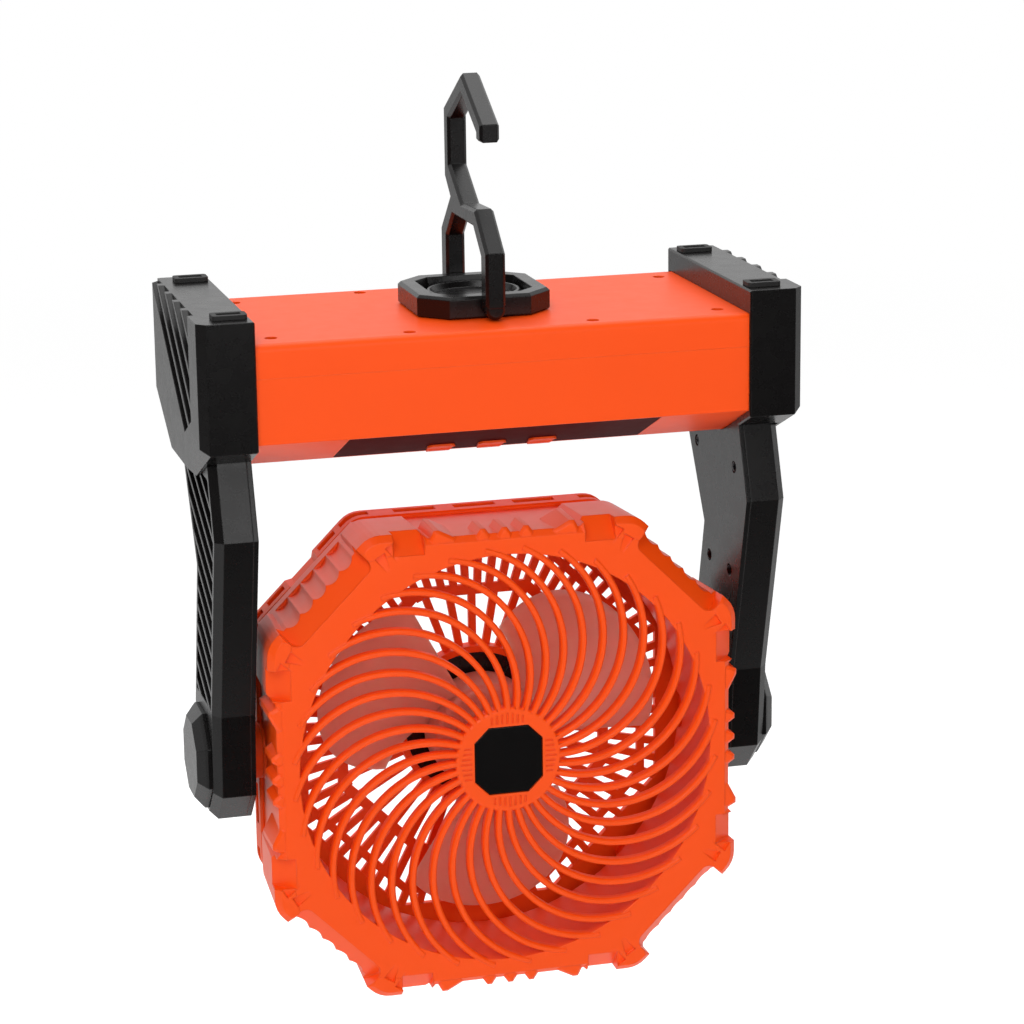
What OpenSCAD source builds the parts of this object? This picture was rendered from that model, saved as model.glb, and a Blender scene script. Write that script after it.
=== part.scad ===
// Portable camping fan with a battery base, two arms, a tilting head and a folding hook.
// Modelled as it hangs: +Z up, X along the base, the grille faces -Y, and the
// origin is the seat of the hook's throat, where the fan hangs from.

/* [Base] */
// Length of the orange base between the end caps
base_l = 204; // [190:1:230]
// Depth of the base, front to back
base_d = 105.8; // [98:0.2:120]
// Height of the upright front and back walls
base_h = 40.2; // [36:0.1:50]
// How far the two sloping faces drop to the flat underside
slope_drop = 15.4; // [12:0.1:20]
// Width of the flat underside
flat_w = 36; // [28:1:50]
// Drop from the top face to the parting line of the base
parting_drop = 13.7; // [10:0.1:18]
// Wall of the moulded orange shells
wall = 2.5; // [1.8:0.1:3]
// Corner radius along the long top edges
top_edge_r = 3; // [1:0.5:5]
// Radius of the screw pockets in the top face
pocket_r = 2.6; // [2.4:0.1:4]

/* [End caps] */
// Length of each end cap along the base
cap_w = 23; // [22:0.5:30]
// How far the cap stands proud of the front and back
cap_proud = 1.8; // [1:0.1:4]
// How far the cap stands above the top face of the base
cap_rise = 9.7; // [6:0.1:14]
// Bevel along the front edges of the cap
cap_bevel = 3.6; // [2:0.1:5]
// How far the base reaches into the cap
cap_grip = 6; // [4:0.5:8]
// Width of a diagonal groove in the cap
groove_w = 8.4; // [4:0.1:10]
// Distance from one groove to the next
groove_pitch = 11; // [8:0.1:14]
// Depth of the diagonal grooves
groove_depth = 2.4; // [1:0.1:3]
// Length of a rubber foot
foot_l = 14; // [10:0.5:18]
// Width of a rubber foot
foot_w = 8.6; // [6:0.1:11]
// Height of a rubber foot above the cap
foot_h = 1.9; // [1:0.1:4]
// Distance from the middle of the base to each foot
foot_y = 43.6; // [30:0.1:46]

/* [Arms] */
// Gap between the inner faces of the arms
arm_gap = 204.8; // [204:0.1:206]
// Thickness of an arm with its cover
arm_t = 17.4; // [16:0.1:20]
// Thickness of the inner cover of an arm
cover_t = 2; // [1.5:0.1:3]
// Wall of the arm shell
arm_wall = 2.4; // [1.8:0.1:3]
// Bevel along the outer front edge of the arm
arm_bevel = 3.4; // [2:0.1:5]
// Depth of the louvred panel in the arm
louvre_depth = 2.6; // [1:0.1:3]
// Distance from one louvre to the next, down the arm
louvre_pitch = 9.8; // [8:0.1:16]
// Thickness of a louvre, down the arm
louvre_t = 2; // [1:0.1:4]
// Drop of the tilt axis below the top face of the base
pivot_drop = 182.5; // [178:0.1:190]
// How far the tilt axis lies in front of the middle of the base
pivot_y = 2; // [0:0.1:6]
// Radius of the shaft that the head tilts on
pivot_r = 6; // [5:0.1:7]
// Size of the octagonal pivot cap, flat to flat
knob_af = 41; // [38:0.5:45]
// Size of the outer face of the pivot cap, flat to flat
knob_face_af = 31.8; // [28:0.2:36]
// How far the pivot cap stands out of the arm
knob_h = 5.8; // [5:0.1:9]

/* [Fan head] */
// Half the width of the bezel across its upright sides, at its front edge
head_half = 96.8; // [96:0.1:97.5]
// Distance from the axis to the bezel's diagonal sides, at its front edge
head_diag = 108; // [106:0.1:109]
// How much narrower the bezel is at its back, on each side
draft = 1.8; // [1:0.1:2]
// Half the width of the rear cover
rear_side = 96.6; // [96:0.1:97]
// Distance from the axis to the rear cover's diagonal sides
rear_diag = 106; // [105:0.1:107]
// How far the corner lugs stand out
lug_h = 2.8; // [1.5:0.1:3.2]
// Depth of the front bezel
bezel_d = 44.5; // [40:0.1:52]
// Depth of the rear cover
rear_d = 15; // [14:0.1:20]
// Wall of the bezel and of the rear cover
head_wall = 2.4; // [1.8:0.1:3]
// Radius of the opening in the bezel
opening_r = 88; // [86:0.1:89]
// Bevel round the front of the bezel
bezel_bevel = 2.4; // [1.5:0.1:3]
// How far in from the diagonal edges their broad chamfers start
chamfer_in = 7.5; // [6:0.1:9]
// How far the broad chamfers reach down the sides
chamfer_drop = 10.5; // [8:0.1:12]

/* [Spiral grille] */
// Number of curved ribs
rib_n = 36; // [24:1:40]
// Width of a rib
rib_w = 2.7; // [1.8:0.1:3]
// Depth of a rib
rib_d = 4.2; // [3:0.1:6]
// Radius to which each rib curves
rib_r = 46; // [44:0.5:60]
// Radius of the ring in the middle
hub_r = 22.5; // [21:0.1:26]
// Thickness of the ring in the middle
hub_t = 6; // [4.5:0.1:8]
// Width of the octagonal plate in the middle
plate_w = 29; // [24:0.1:30]
// Corner cut of the octagonal plate
plate_cut = 6.2; // [4:0.1:8]

/* [Rear grille] */
// Number of struts round the motor
strut_n = 36; // [24:1:40]
// Width of a strut
strut_w = 3.2; // [2:0.1:4]
// Thickness of the struts and bands
strut_t = 2.6; // [2:0.1:4]
// Distance from the axis to the inner octagonal band
band_in = 58; // [50:0.5:64]
// Distance from the axis to the outer octagonal band
band_out = 75; // [70:0.5:78]

/* [Motor and blades] */
// Radius of the black motor mount
mount_r = 31; // [28:0.1:33]
// Thickness of the motor mount
mount_t = 4; // [3:0.1:5]
// Radius of the motor can
motor_r = 20; // [17:0.1:21]
// Length of the motor can
motor_l = 21; // [18:0.5:24]
// Radius of the motor shaft
shaft_r = 2; // [1.5:0.1:3]
// Radius of the blade tips
blade_r = 77; // [65:0.5:82]
// Number of blades
blade_n = 3; // [3:1:4]
// Angle that a blade covers
blade_span = 80; // [50:1:84]
// Depth over which a blade is pitched
blade_pitch = 15; // [8:0.5:16]
// Thickness of a blade
blade_t = 1.6; // [1:0.1:2.5]
// Radius of the hub that carries the blades
spinner_r = 24; // [23:0.1:27]

/* [Hook and its ring] */
// Height of the throat's seat above the top face of the base
throat_h = 88; // [84:0.5:91]
// Width of the hook's bar
bar_w = 8.2; // [6:0.1:8.5]
// Thickness of the hook's bar
bar_t = 7.2; // [6:0.1:8]
// Thickness of the two legs of the fork
leg_t = 9; // [7:0.1:10]
// Bevel along the edges of the hook
bar_bevel = 1.2; // [0.5:0.1:1.6]
// Half the width of the octagonal ring
ring_half = 28; // [26:0.1:30]
// Corner cut of the octagonal ring
ring_cut = 11; // [8:0.1:13]
// Height of the ring
ring_h = 9.3; // [9:0.1:11]
// Wall of the ring
ring_wall = 6.5; // [5:0.1:7]
// Radius of the hook's hinge pins
pin_r = 2; // [1.5:0.1:2.5]
// Radius of the round dish inside the ring
dish_r = 19; // [16:0.1:19]

/* [Control panel] */
// Length of the dark panel on the front slope
panel_l = 130; // [90:1:160]
// Thickness of the dark panel
panel_t = 1.2; // [0.8:0.1:1.4]
// Distance from one button to the next
button_pitch = 21.5; // [18:0.1:30]
// Width of a button at its wide end
button_w = 11.6; // [8:0.1:13]
// Length of a button down the slope
button_l = 10; // [7:0.1:11]
// How far a button stands out of the panel
button_h = 0.8; // [0.4:0.1:1.5]
// How far a button travels
button_travel = 1; // [0.5:0.1:1.2]

/* [Inside the base] */
// Radius of a battery cell
cell_r = 10.5; // [9:0.1:10.6]
// Length of a battery cell
cell_l = 70; // [65:0.5:75]
// Thickness of the circuit board
board_t = 1.6; // [1:0.1:2]

/* [Fits] */
// Gap between still pieces that plug together
seat_gap = 0.15; // [0.05:0.05:0.3]
// Radial gap of a shaft in its bush
run_gap = 0.05; // [0.02:0.01:0.1]
// Gap between pieces that move past each other
move_gap = 0.3; // [0.3:0.05:0.5]

/* [Hidden] */
$fn = 64;
eps = 0.01;
far = 400;
orange = "#ff5e1c";
black = "#1c1a1a";
dark_red = "#500f0f";
steel = "#b8bbc0";
milky = "#e8b4ae";

half_l = base_l / 2;
half_d = base_d / 2;
slope_run = half_d - flat_w / 2;
slope_a = atan(slope_drop / slope_run);
slope_l = norm([slope_run, slope_drop]);
base_bottom = base_h + slope_drop;
cap_out = half_l + cap_w;
cap_y = half_d + cap_proud;
arm_in = arm_gap / 2;
arm_out = arm_in + arm_t;
shell_in = arm_in + cover_t;

/* Outlines and prisms */
function unit(v) = v / norm(v);
function cross2(a, b) = a[0] * b[1] - a[1] * b[0];
function sum(v, i = 0) = i < len(v) ? v[i] + sum(v, i + 1) : 0;
function turn(p) = sum([for (i = [0 : len(p) - 1])
    cross2(p[i], p[(i + 1) % len(p)])]) > 0 ? 1 : -1;
function flip(p) = [for (i = [len(p) - 1 : -1 : 0]) p[i]];

// Moves each edge of an anticlockwise outline inwards: by d, or edge i by d[i]
function inset(p, d) = let (n = len(p)) [for (i = [0 : n - 1])
    let (j = (i + n - 1) % n, a = unit(p[i] - p[j]), b = unit(p[(i + 1) % n] - p[i]),
        na = [-a[1], a[0]], nb = [-b[1], b[0]], k = cross2(na, nb),
        da = is_list(d) ? d[j] : d, db = is_list(d) ? d[i] : d)
        p[i] + [da * nb[1] - db * na[1], na[0] * db - nb[0] * da] / k];

// A solid through a stack of outlines with as many points each, as [outline, height]. An outline that
// isn't convex has its two ends cut into convex faces, each a list of its points' numbers.
module loft(rings, ends = []) {
    n = len(rings[0][0]);
    k = len(rings);
    faces = len(ends) > 0 ? ends : [[for (i = [0 : n - 1]) i]];
    polyhedron([for (r = rings) for (v = r[0]) [v[0], v[1], r[1]]], concat(
        faces,
        [for (j = [0 : k - 2]) for (i = [0 : n - 1])
            [j * n + i, (j + 1) * n + i, (j + 1) * n + (i + 1) % n, j * n + (i + 1) % n]],
        [for (f = faces) [for (v = flip(f)) (k - 1) * n + v]]));
}

// A straight prism along +Z whose two ends may be bevelled
module bevel_prism(p, h, low = 0, high = 0, ends = []) {
    loft(concat(low > 0 ? [[inset(p, low), 0], [p, low]] : [[p, 0]],
        high > 0 ? [[p, h - high], [inset(p, high), h]] : [[p, h]]), ends);
}

// An octagon with upright and level sides at half and a corner cut
function octagon(half, cut) = let (k = half - cut) [[half, -k], [half, k], [k, half],
    [-k, half], [-half, k], [-half, -k], [-k, -half], [k, -half]];
function regular_cut(half) = half * (2 - sqrt(2));

// Puts an outline drawn in Y and Z upright: its extrusion runs along +X
module along_x(x = 0) {
    translate([x, 0, 0]) rotate([90, 0, 90]) children();
}

// Mirrors what is drawn for the right side to the left one
module side(left) {
    mirror([left ? 1 : 0, 0, 0]) children();
}

// The whole object hangs below its origin; inside, z = 0 is the top face of the base
module hung() {
    translate([0, 0, -throat_h]) children();
}

// The head's own directions: x right, y up, z towards the front, from the tilt axis
module head_frame() {
    hung() translate([0, -pivot_y, -pivot_drop]) rotate([90, 0, 0]) children();
}

// The front slope's own directions: x along it, y up it from its lower edge, z out of it
module slope_frame() {
    hung() translate([0, -flat_w / 2, -base_bottom]) rotate([180 - slope_a, 0, 0]) children();
}

/* Base */
corner_screw_x = 93;
middle_screw_x = 38;
corner_screw_y = half_d - 13.4;
middle_screw_y = half_d - 7.6;
screw_spots = concat(
    [for (x = [-1, 1], y = [-1, 1]) [x * corner_screw_x, y * corner_screw_y]],
    [for (x = [-1, 1], y = [-1, 1]) [x * middle_screw_x, y * middle_screw_y]]);
screw_r = 1.5;
screw_head_h = 1.6;
pocket_floor = 3;
post_r = 3.8;
tongue = half_l + cap_grip - seat_gap;
spindle_r = 12;

// The base's cross-section seen from its right end, grown by o all round
function base_outline(o = 0) = let (k = o * tan(slope_a / 2))
    [[-half_d - o, -base_h - k], [-flat_w / 2 - k, -base_bottom - o],
    [flat_w / 2 + k, -base_bottom - o], [half_d + o, -base_h - k], [half_d + o, o],
    [-half_d - o, o]];

module base_solid() {
    along_x(-tongue) linear_extrude(2 * tongue) difference() {
        polygon(base_outline());
        for (s = [-1, 1]) mirror([s > 0 ? 0 : 1, 0]) translate([half_d - top_edge_r, -top_edge_r])
            difference() {
                square(top_edge_r + 1);
                circle(top_edge_r);
            }
    }
}

module at_screws() {
    for (p = screw_spots) translate([p[0], p[1], 0]) children();
}

module base_cover() {
    color(orange) hung() difference() {
        union() {
            difference() {
                base_solid();
                translate([0, 0, -parting_drop - far / 2]) cube(far, center = true);
                translate([0, 0, -wall - far / 2])
                    cube([2 * (tongue - wall), base_d - 2 * wall, far], center = true);
            }
            at_screws() translate([0, 0, -parting_drop + 0.1])
                cylinder(r = post_r, h = parting_drop - wall);
        }
        at_screws() {
            translate([0, 0, -pocket_floor]) cylinder(r = pocket_r, h = pocket_floor + 1);
            translate([0, 0, -parting_drop]) cylinder(r = screw_r + seat_gap, h = parting_drop);
        }
        translate([0, 0, -wall - 1]) cylinder(r = spindle_r + seat_gap, h = wall + 2);
    }
}

// The lower shell's hollow, with its slopes and end walls
module housing_hollow() {
    along_x(-tongue + wall) linear_extrude(2 * (tongue - wall)) difference() {
        polygon(inset(base_outline(1), wall + 1));
        translate([-far / 2, -parting_drop + 1]) square(far);
    }
    translate([0, 0, -parting_drop])
        cube([2 * (tongue - wall), base_d - 2 * wall, 2.2], center = true);
}

module base_housing() {
    color(orange) difference() {
        union() {
            hung() difference() {
                base_solid();
                translate([0, 0, -parting_drop + far / 2]) cube(far, center = true);
                housing_hollow();
            }
            hung() intersection() {
                base_solid();
                at_screws() translate([0, 0, -base_h - 8])
                    cylinder(r = post_r, h = base_h + 8 - parting_drop);
            }
            slope_frame() intersection() {
                board_posts(board_post_r, -board_z);
                translate([0, slope_l / 2, -far / 2]) cube(far - 2, center = true);
            }
        }
        hung() at_screws() translate([0, 0, -base_h + 6])
            cylinder(r = screw_r + run_gap, h = base_h);
        slope_frame() {
            translate([-panel_l / 2, panel_margin, -panel_t])
                cube([panel_l, slope_l - 2 * panel_margin, far / 20]);
            at_buttons() button_shape(move_gap, -wall - 1, wall + 2);
        }
        hung() port_space(seat_gap);
    }
}

module base_screws() {
    color(steel) hung() at_screws() difference() {
        union() {
            translate([0, 0, -pocket_floor]) cylinder(r = pocket_r - 0.2, h = screw_head_h);
            translate([0, 0, -base_h + 14]) cylinder(r = screw_r, h = base_h - 14 - pocket_floor);
        }
        translate([0, 0, -pocket_floor + screw_head_h - 0.8]) for (a = [0, 90])
            rotate(a) cube([2.6, 0.6, 2], center = true);
    }
}

/* Battery, board and charging port */
cell_y = cell_r + 0.6;
cell_z = -base_bottom + wall + 10 + cell_r;
holder_l = 2 * cell_l + 8;

module battery_holder() {
    color("#3a3d42") hung() difference() {
        along_x(-holder_l / 2) linear_extrude(holder_l) polygon([
            [-flat_w / 2 + 6, -base_bottom + wall], [flat_w / 2 - 6, -base_bottom + wall],
            [cell_y + 4, cell_z - cell_r - 2], [2 * cell_y + 1, cell_z - 6],
            [2 * cell_y + 1, cell_z + 2], [-2 * cell_y - 1, cell_z + 2],
            [-2 * cell_y - 1, cell_z - 6], [-cell_y - 4, cell_z - cell_r - 2]]);
        for (x = [-1, 1], y = [-1, 1]) translate([x * (cell_l / 2 + 1), y * cell_y, cell_z])
            rotate([0, 90, 0]) cylinder(r = cell_r + seat_gap, h = cell_l + 2 * seat_gap, center = true);
    }
}

module battery_cells() {
    color("#3f7fb0") hung() for (x = [-1, 1], y = [-1, 1])
        translate([x * (cell_l / 2 + 1), y * cell_y, cell_z]) rotate([0, 90, 0]) {
            cylinder(r = cell_r, h = cell_l - 1.5, center = true);
            cylinder(r = 3.4, h = cell_l, center = true);
        }
}

board_z = wall + 3.7;
board_w = 84;
board_l = 24;
board_post_r = 2;
button_y = slope_l - 31;

module board_posts(r, low) {
    for (x = [-1, 1], y = [4, board_l - 3]) translate([x * (board_w / 2 - 4), y + 3, low])
        cylinder(r = r, h = -low - wall + 0.5);
}

module at_buttons() {
    for (i = [-1 : 1]) translate([i * button_pitch, button_y, 0]) children();
}

module circuit_board() {
    color("#1f6b3a") slope_frame() {
        translate([-board_w / 2, 3, -board_z - board_t]) cube([board_w, board_l, board_t]);
        at_buttons() translate([0, 0, -board_z + 0.55]) cube([6, 6, 1.1], center = true);
        translate([0, 20, -board_z - board_t - 1]) cube([18, 8, 2 + eps], center = true);
    }
}

port_w = 9;
port_h = 3.2;
port_l = 7.4;
port_drop = 26;

module port_space(o) {
    translate([0, half_d - port_l, -port_drop]) rotate([-90, 0, 0])
        linear_extrude(port_l + 1) port_outline(o);
}

module port_outline(o) {
    square([port_w - port_h, port_h + 2 * o], center = true);
    for (s = [-1, 1]) translate([s * (port_w - port_h) / 2, 0]) circle(port_h / 2 + o);
}

module charge_port() {
    color(steel) hung() difference() {
        union() {
            translate([0, half_d - port_l, -port_drop]) rotate([-90, 0, 0])
                linear_extrude(port_l - 0.5) port_outline(0);
            translate([0, half_d - wall - 1.1, -port_drop]) cube([port_w + 8, 2, port_h + 6], center = true);
        }
        translate([0, half_d - port_l + 1.5, -port_drop]) rotate([-90, 0, 0]) linear_extrude(port_l)
            difference() {
                port_outline(-0.4);
                square([port_w - port_h, 0.7], center = true);
            }
    }
}

/* Control panel and buttons */
panel_margin = 0.8;
button_taper = 1;
flange = 1.2;

module button_outline(o) {
    w = button_w / 2 + o;
    l = button_l / 2 + o;
    polygon([[-w + button_taper, -l], [w - button_taper, -l], [w, l - 2], [w - 1.4, l],
        [-w + 1.4, l], [-w, l - 2]]);
}

module button_shape(o, z, h) {
    translate([0, 0, z]) linear_extrude(h) button_outline(o);
}

module control_panel() {
    color(dark_red) slope_frame() difference() {
        translate([-panel_l / 2 + seat_gap, panel_margin + seat_gap, -panel_t])
            cube([panel_l - 2 * seat_gap, slope_l - 2 * (panel_margin + seat_gap), panel_t]);
        at_buttons() button_shape(move_gap, -panel_t - 1, panel_t + 2);
    }
}

module button(i) {
    color(orange) slope_frame() translate([i * button_pitch, button_y, 0]) difference() {
        union() {
            button_shape(0, -wall - move_gap - eps, wall + move_gap + button_h + eps);
            button_shape(flange, -wall - move_gap - 1, 1);
        }
        translate([0, 0, button_h + 11.7]) rotate([0, 90, 0]) cylinder(r = 12, h = 40, center = true);
    }
}
module button_left() { button(-1); }
module button_middle() { button(0); }
module button_right() { button(1); }

/* End caps and feet */
cap_floor = base_bottom + 3;
cap_outline = [[-cap_y, -base_h - 2.6], [-flat_w / 2 - 1, -cap_floor], [flat_w / 2 - 4, -cap_floor],
    [cap_y, -base_h + 3.4], [cap_y, cap_rise], [-cap_y, cap_rise]];
cap_edges = [cap_bevel, cap_bevel, 1, 1, eps, cap_bevel];
cap_skin = groove_depth + 2.2;
groove_a = 35;
// The grooves keep clear of a border along the front and the foot of the cap
groove_field = [[-33, -33], [-14, -42], [70, 14], [70, 30], [-33, 30]];

module cap(left) {
    color(black) hung() side(left) difference() {
        along_x(half_l) loft([[inset(cap_outline, 0.6), 0], [cap_outline, 0.6],
            [cap_outline, cap_w - cap_bevel], [inset(cap_outline, cap_edges), cap_w]]);
        along_x(half_l - 1) linear_extrude(cap_grip + 1) polygon(base_outline(seat_gap));
        along_x(half_l + cap_grip - eps) linear_extrude(cap_w - cap_grip - cap_skin)
            polygon(inset(cap_outline, 3.4));
        along_x(half_l - 1) linear_extrude(arm_out - half_l + 1 + seat_gap)
            polygon(inset(arm_outline, -seat_gap));
        along_x(cap_out - groove_depth) linear_extrude(far) intersection() {
            polygon(groove_field);
            for (i = [-2 : 4]) rotate(groove_a) translate([0, 2 + i * groove_pitch])
                square([far, groove_w], center = true);
        }
    }
}
module left_end_cap() { cap(true); }
module right_end_cap() { cap(false); }

module feet() {
    color("#141414") hung() for (x = [-1, 1], y = [-1, 1])
        translate([x * (half_l + 1.5 + foot_l / 2), y * foot_y, cap_rise]) difference() {
            union() for (s = [-1, 1]) {
                translate([s * (foot_l / 2 - 2), 0, 0]) cube([4 - 2 * 1.4, foot_w, 2 * foot_h], center = true);
                translate([0, 0, 0]) cube([foot_l, foot_w - 2.8, 2 * foot_h], center = true);
                translate([0, 0, 0]) cube([foot_l - 2.8, foot_w, 2 * foot_h], center = true);
                for (t = [-1, 1]) translate([s * (foot_l / 2 - 1.4), t * (foot_w / 2 - 1.4), -foot_h])
                    cylinder(r = 1.4, h = 2 * foot_h, $fn = 32);
            }
            translate([0, 0, foot_h]) cube([foot_l - 4.4, foot_w - 4.4, 1.6], center = true);
            translate([0, 0, -foot_h]) cube([foot_l + 2, foot_w + 2, 2 * foot_h], center = true);
        }
}

/* Arms */
arm_crease = -pivot_drop + 23.8;
arm_foot = -pivot_drop - 25.4;
arm_half = 23.5;
arm_cut = 13.5;
arm_top = -base_h - 6;
arm_outline = [[-38, arm_top], [-50, -79.8], [-pivot_y - 27, arm_crease],
    [-pivot_y - arm_half, arm_foot + arm_cut], [-pivot_y - arm_half + arm_cut, arm_foot],
    [-pivot_y + arm_half - arm_cut, arm_foot], [-pivot_y + arm_half, arm_foot + arm_cut],
    [-pivot_y + arm_half - 1.5, arm_crease], [5, -101], [38, arm_top]];
arm_faces = [[0, 1, 8, 9], [1, 2, 7, 8], [2, 3, 4, 5, 6, 7]];
arm_back = 7;
arm_edges = [arm_bevel, arm_bevel, arm_bevel, arm_bevel, arm_bevel, arm_bevel, arm_bevel,
    arm_back, arm_back, 0.5];
arm_skin = louvre_depth + 2;
louvre_a = 25;
louvre_top = -cap_floor + 2;
louvre_end = arm_crease + 2;
boss_r = 11.6;
bush_r = 9;
cover_screws = [[15, -67.7], [-33.7, -68.5], [-2, -114.3], [-28, -114.3]];

// The arm keeps clear of the part of the base that reaches into the cap
module base_clearance() {
    along_x(0) linear_extrude(half_l + cap_grip + 2 * seat_gap) polygon(base_outline(2 * seat_gap));
}

module louvre_field() {
    difference() {
        polygon(inset(arm_outline, [for (e = arm_edges) e + 2.4]));
        translate([-far / 2, louvre_top]) square(far);
        translate([-far / 2, louvre_end - far]) square(far);
        for (z = [louvre_end - 30 : louvre_pitch : louvre_top + 30]) translate([0, z])
            rotate(louvre_a) square([far, louvre_t], center = true);
    }
}

module arm(left) {
    depth = arm_out - shell_in;
    color(black) hung() side(left) difference() {
        union() {
            difference() {
                along_x(shell_in) loft([[arm_outline, 0], [arm_outline, depth - arm_bevel],
                    [inset(arm_outline, arm_edges), depth]], arm_faces);
                along_x(shell_in - eps) linear_extrude(depth - arm_skin)
                    polygon(inset(arm_outline, [for (e = arm_edges) arm_wall + (e > arm_bevel ? e : 0)]));
            }
            at_pivot() translate([0, 0, shell_in + seat_gap])
                cylinder(r = boss_r, h = depth - arm_skin + 1);
            at_cover_screws() translate([0, 0, shell_in + seat_gap])
                cylinder(r = 3.6, h = depth - arm_skin + 1);
            along_x(half_l + cap_grip + 1) linear_extrude(8)
                polygon([[-24, arm_top - 2], [24, arm_top - 2], [24, -parting_drop], [-24, -parting_drop]]);
        }
        base_clearance();
        along_x(arm_out - louvre_depth) linear_extrude(far) louvre_field();
        at_pivot() {
            translate([0, 0, shell_in - 1]) cylinder(r = bush_r + run_gap, h = bush_l + 1 + seat_gap);
            cylinder(r = pivot_r + 1, h = far);
        }
        at_cover_screws() translate([0, 0, shell_in - 1]) cylinder(r = screw_r + run_gap, h = 9);
    }
}
module left_arm() { arm(true); }
module right_arm() { arm(false); }

module at_pivot() {
    translate([0, -pivot_y, -pivot_drop]) rotate([0, 90, 0]) children();
}

module at_cover_screws() {
    for (p = cover_screws) translate([0, p[0], p[1]]) rotate([0, 90, 0]) children();
}

module arm_cover(left) {
    color(black) hung() side(left) difference() {
        along_x(arm_in) linear_extrude(cover_t) polygon(arm_outline);
        base_clearance();
        at_pivot() cylinder(r = pivot_r + 0.5, h = far);
        at_cover_screws() {
            cylinder(r = screw_r + seat_gap, h = far);
            cylinder(r = pocket_r, h = arm_in + 1.2);
        }
    }
}
module left_arm_cover() { arm_cover(true); }
module right_arm_cover() { arm_cover(false); }

module arm_screws() {
    color(steel) hung() for (left = [true, false]) side(left) at_cover_screws() difference() {
        union() {
            translate([0, 0, arm_in + 0.2]) cylinder(r = pocket_r - 0.2, h = 1);
            translate([0, 0, arm_in + 1]) cylinder(r = screw_r, h = 8);
        }
        translate([0, 0, arm_in]) for (a = [0, 90]) rotate(a) cube([2.6, 0.6, 1.4], center = true);
    }
}

/* Tilt hinge */
bush_l = 10;
collar_r = 12;
spigot_r = 8;
spigot_l = 5.4;
shaft_end = arm_out - 1.6;

module bush(left) {
    color("#d8d4c8") hung() side(left) at_pivot() translate([0, 0, shell_in + seat_gap]) difference() {
        cylinder(r = bush_r, h = bush_l);
        translate([0, 0, -1]) cylinder(r = pivot_r + run_gap, h = bush_l + 2);
    }
}
module left_bush() { bush(true); }
module right_bush() { bush(false); }

module pivot(left) {
    color(orange) hung() side(left) at_pivot() difference() {
        union() {
            translate([0, 0, rear_side - spigot_l]) cylinder(r = spigot_r, h = spigot_l + 1);
            translate([0, 0, rear_side + seat_gap])
                cylinder(r = collar_r, h = arm_in - move_gap - rear_side - seat_gap);
            translate([0, 0, rear_side]) cylinder(r = pivot_r, h = shaft_end - rear_side);
        }
        translate([0, 0, rear_side - spigot_l - 1]) cylinder(r = pivot_r / 2, h = far);
    }
}
module left_pivot() { pivot(true); }
module right_pivot() { pivot(false); }

module pivot_cap(left) {
    af = knob_af / 2;
    face = knob_face_af / 2;
    tier = knob_h * 0.45;
    color(black) hung() side(left) at_pivot() translate([0, 0, arm_out]) difference() {
        loft([[octagon(af, regular_cut(af)), 0], [octagon(af, regular_cut(af)), tier - 1],
            [octagon(af - 1, regular_cut(af - 1)), tier],
            [octagon(face, regular_cut(face)), knob_h]]);
        translate([0, 0, -1]) cylinder(r = boss_r - 1.5, h = 1 + knob_h - 2.4);
    }
}
module left_pivot_cap() { pivot_cap(true); }
module right_pivot_cap() { pivot_cap(false); }

/* Fan head */
function head_cut(half, diag) = 2 * half - diag * sqrt(2);
front_outline = octagon(head_half, head_cut(head_half, head_diag));
// The sides taper towards the back, so that the bezel comes out of its mould
taper = 1 - draft / head_half;
back_outline = taper * front_outline;
grille_top = bezel_d + 0.7;
// A point beside the middle of the upper right diagonal side, t towards the right
function on_diagonal(d, t) = [(d + t) / sqrt(2), (d - t) / sqrt(2)];
function curve(a, b, c, t) = (1 - t) * (1 - t) * a + 2 * t * (1 - t) * b + t * t * c;
// The points of a rounded corner between an upright side and a diagonal one
corner_round = 5;
function corner_points(side, diag) = let (c = [side, diag * sqrt(2) - side])
    [for (t = [0 : 0.25 : 1]) curve(c - [0, corner_round], c,
    c + [-corner_round, corner_round] / sqrt(2), t)];

// A lug wraps one corner, from the upright side to gap before the diagonal's middle
lug_start = 31.8;
lug_gap = 21;
lug_outline = concat([[head_half - 5, lug_start - 1], [head_half - 0.5, lug_start],
    [head_half + lug_h, lug_start + 3.5]], corner_points(head_half + lug_h, head_diag + lug_h - 0.4),
    [on_diagonal(head_diag + lug_h - 0.4, lug_gap + 2), on_diagonal(head_diag - 0.5, lug_gap),
    on_diagonal(head_diag - 5, lug_gap - 1)]);

// The rear cover stands proud of the bezel's sides, but for a notch in each diagonal side
notch = 6;
notch_h = 2.5;
rear_quarter = concat(corner_points(rear_side, rear_diag),
    [for (p = flip(corner_points(rear_side, rear_diag))) [p[1], p[0]]]);
function turned(p, a) = [for (v = p) [v[0] * cos(a) - v[1] * sin(a), v[0] * sin(a) + v[1] * cos(a)]];
rear_outline = concat(rear_quarter, turned(rear_quarter, 90), turned(rear_quarter, 180),
    turned(rear_quarter, 270));

// The same piece at all eight corners, or on all four upright sides, or diagonals
module at_corners() {
    for (a = [0 : 90 : 270]) rotate(a) for (m = [0, 1]) rotate(45 * m) mirror([0, m, 0])
        rotate(-45 * m) children();
}
module at_sides() {
    for (a = [0 : 90 : 270]) rotate(a) children();
}

// A tooth on the right-hand side of the head, between two heights, with its outline in y and out
module tooth(p, z0) {
    translate([0, 0, z0]) bevel_prism(concat([[head_half - 3, p[0][0]]],
        [for (v = p) [head_half + v[1], v[0]]], [[head_half - 3, p[len(p) - 1][0]]]),
        bezel_d - z0 - 0.3, 0.8, 1.2);
}

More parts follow.
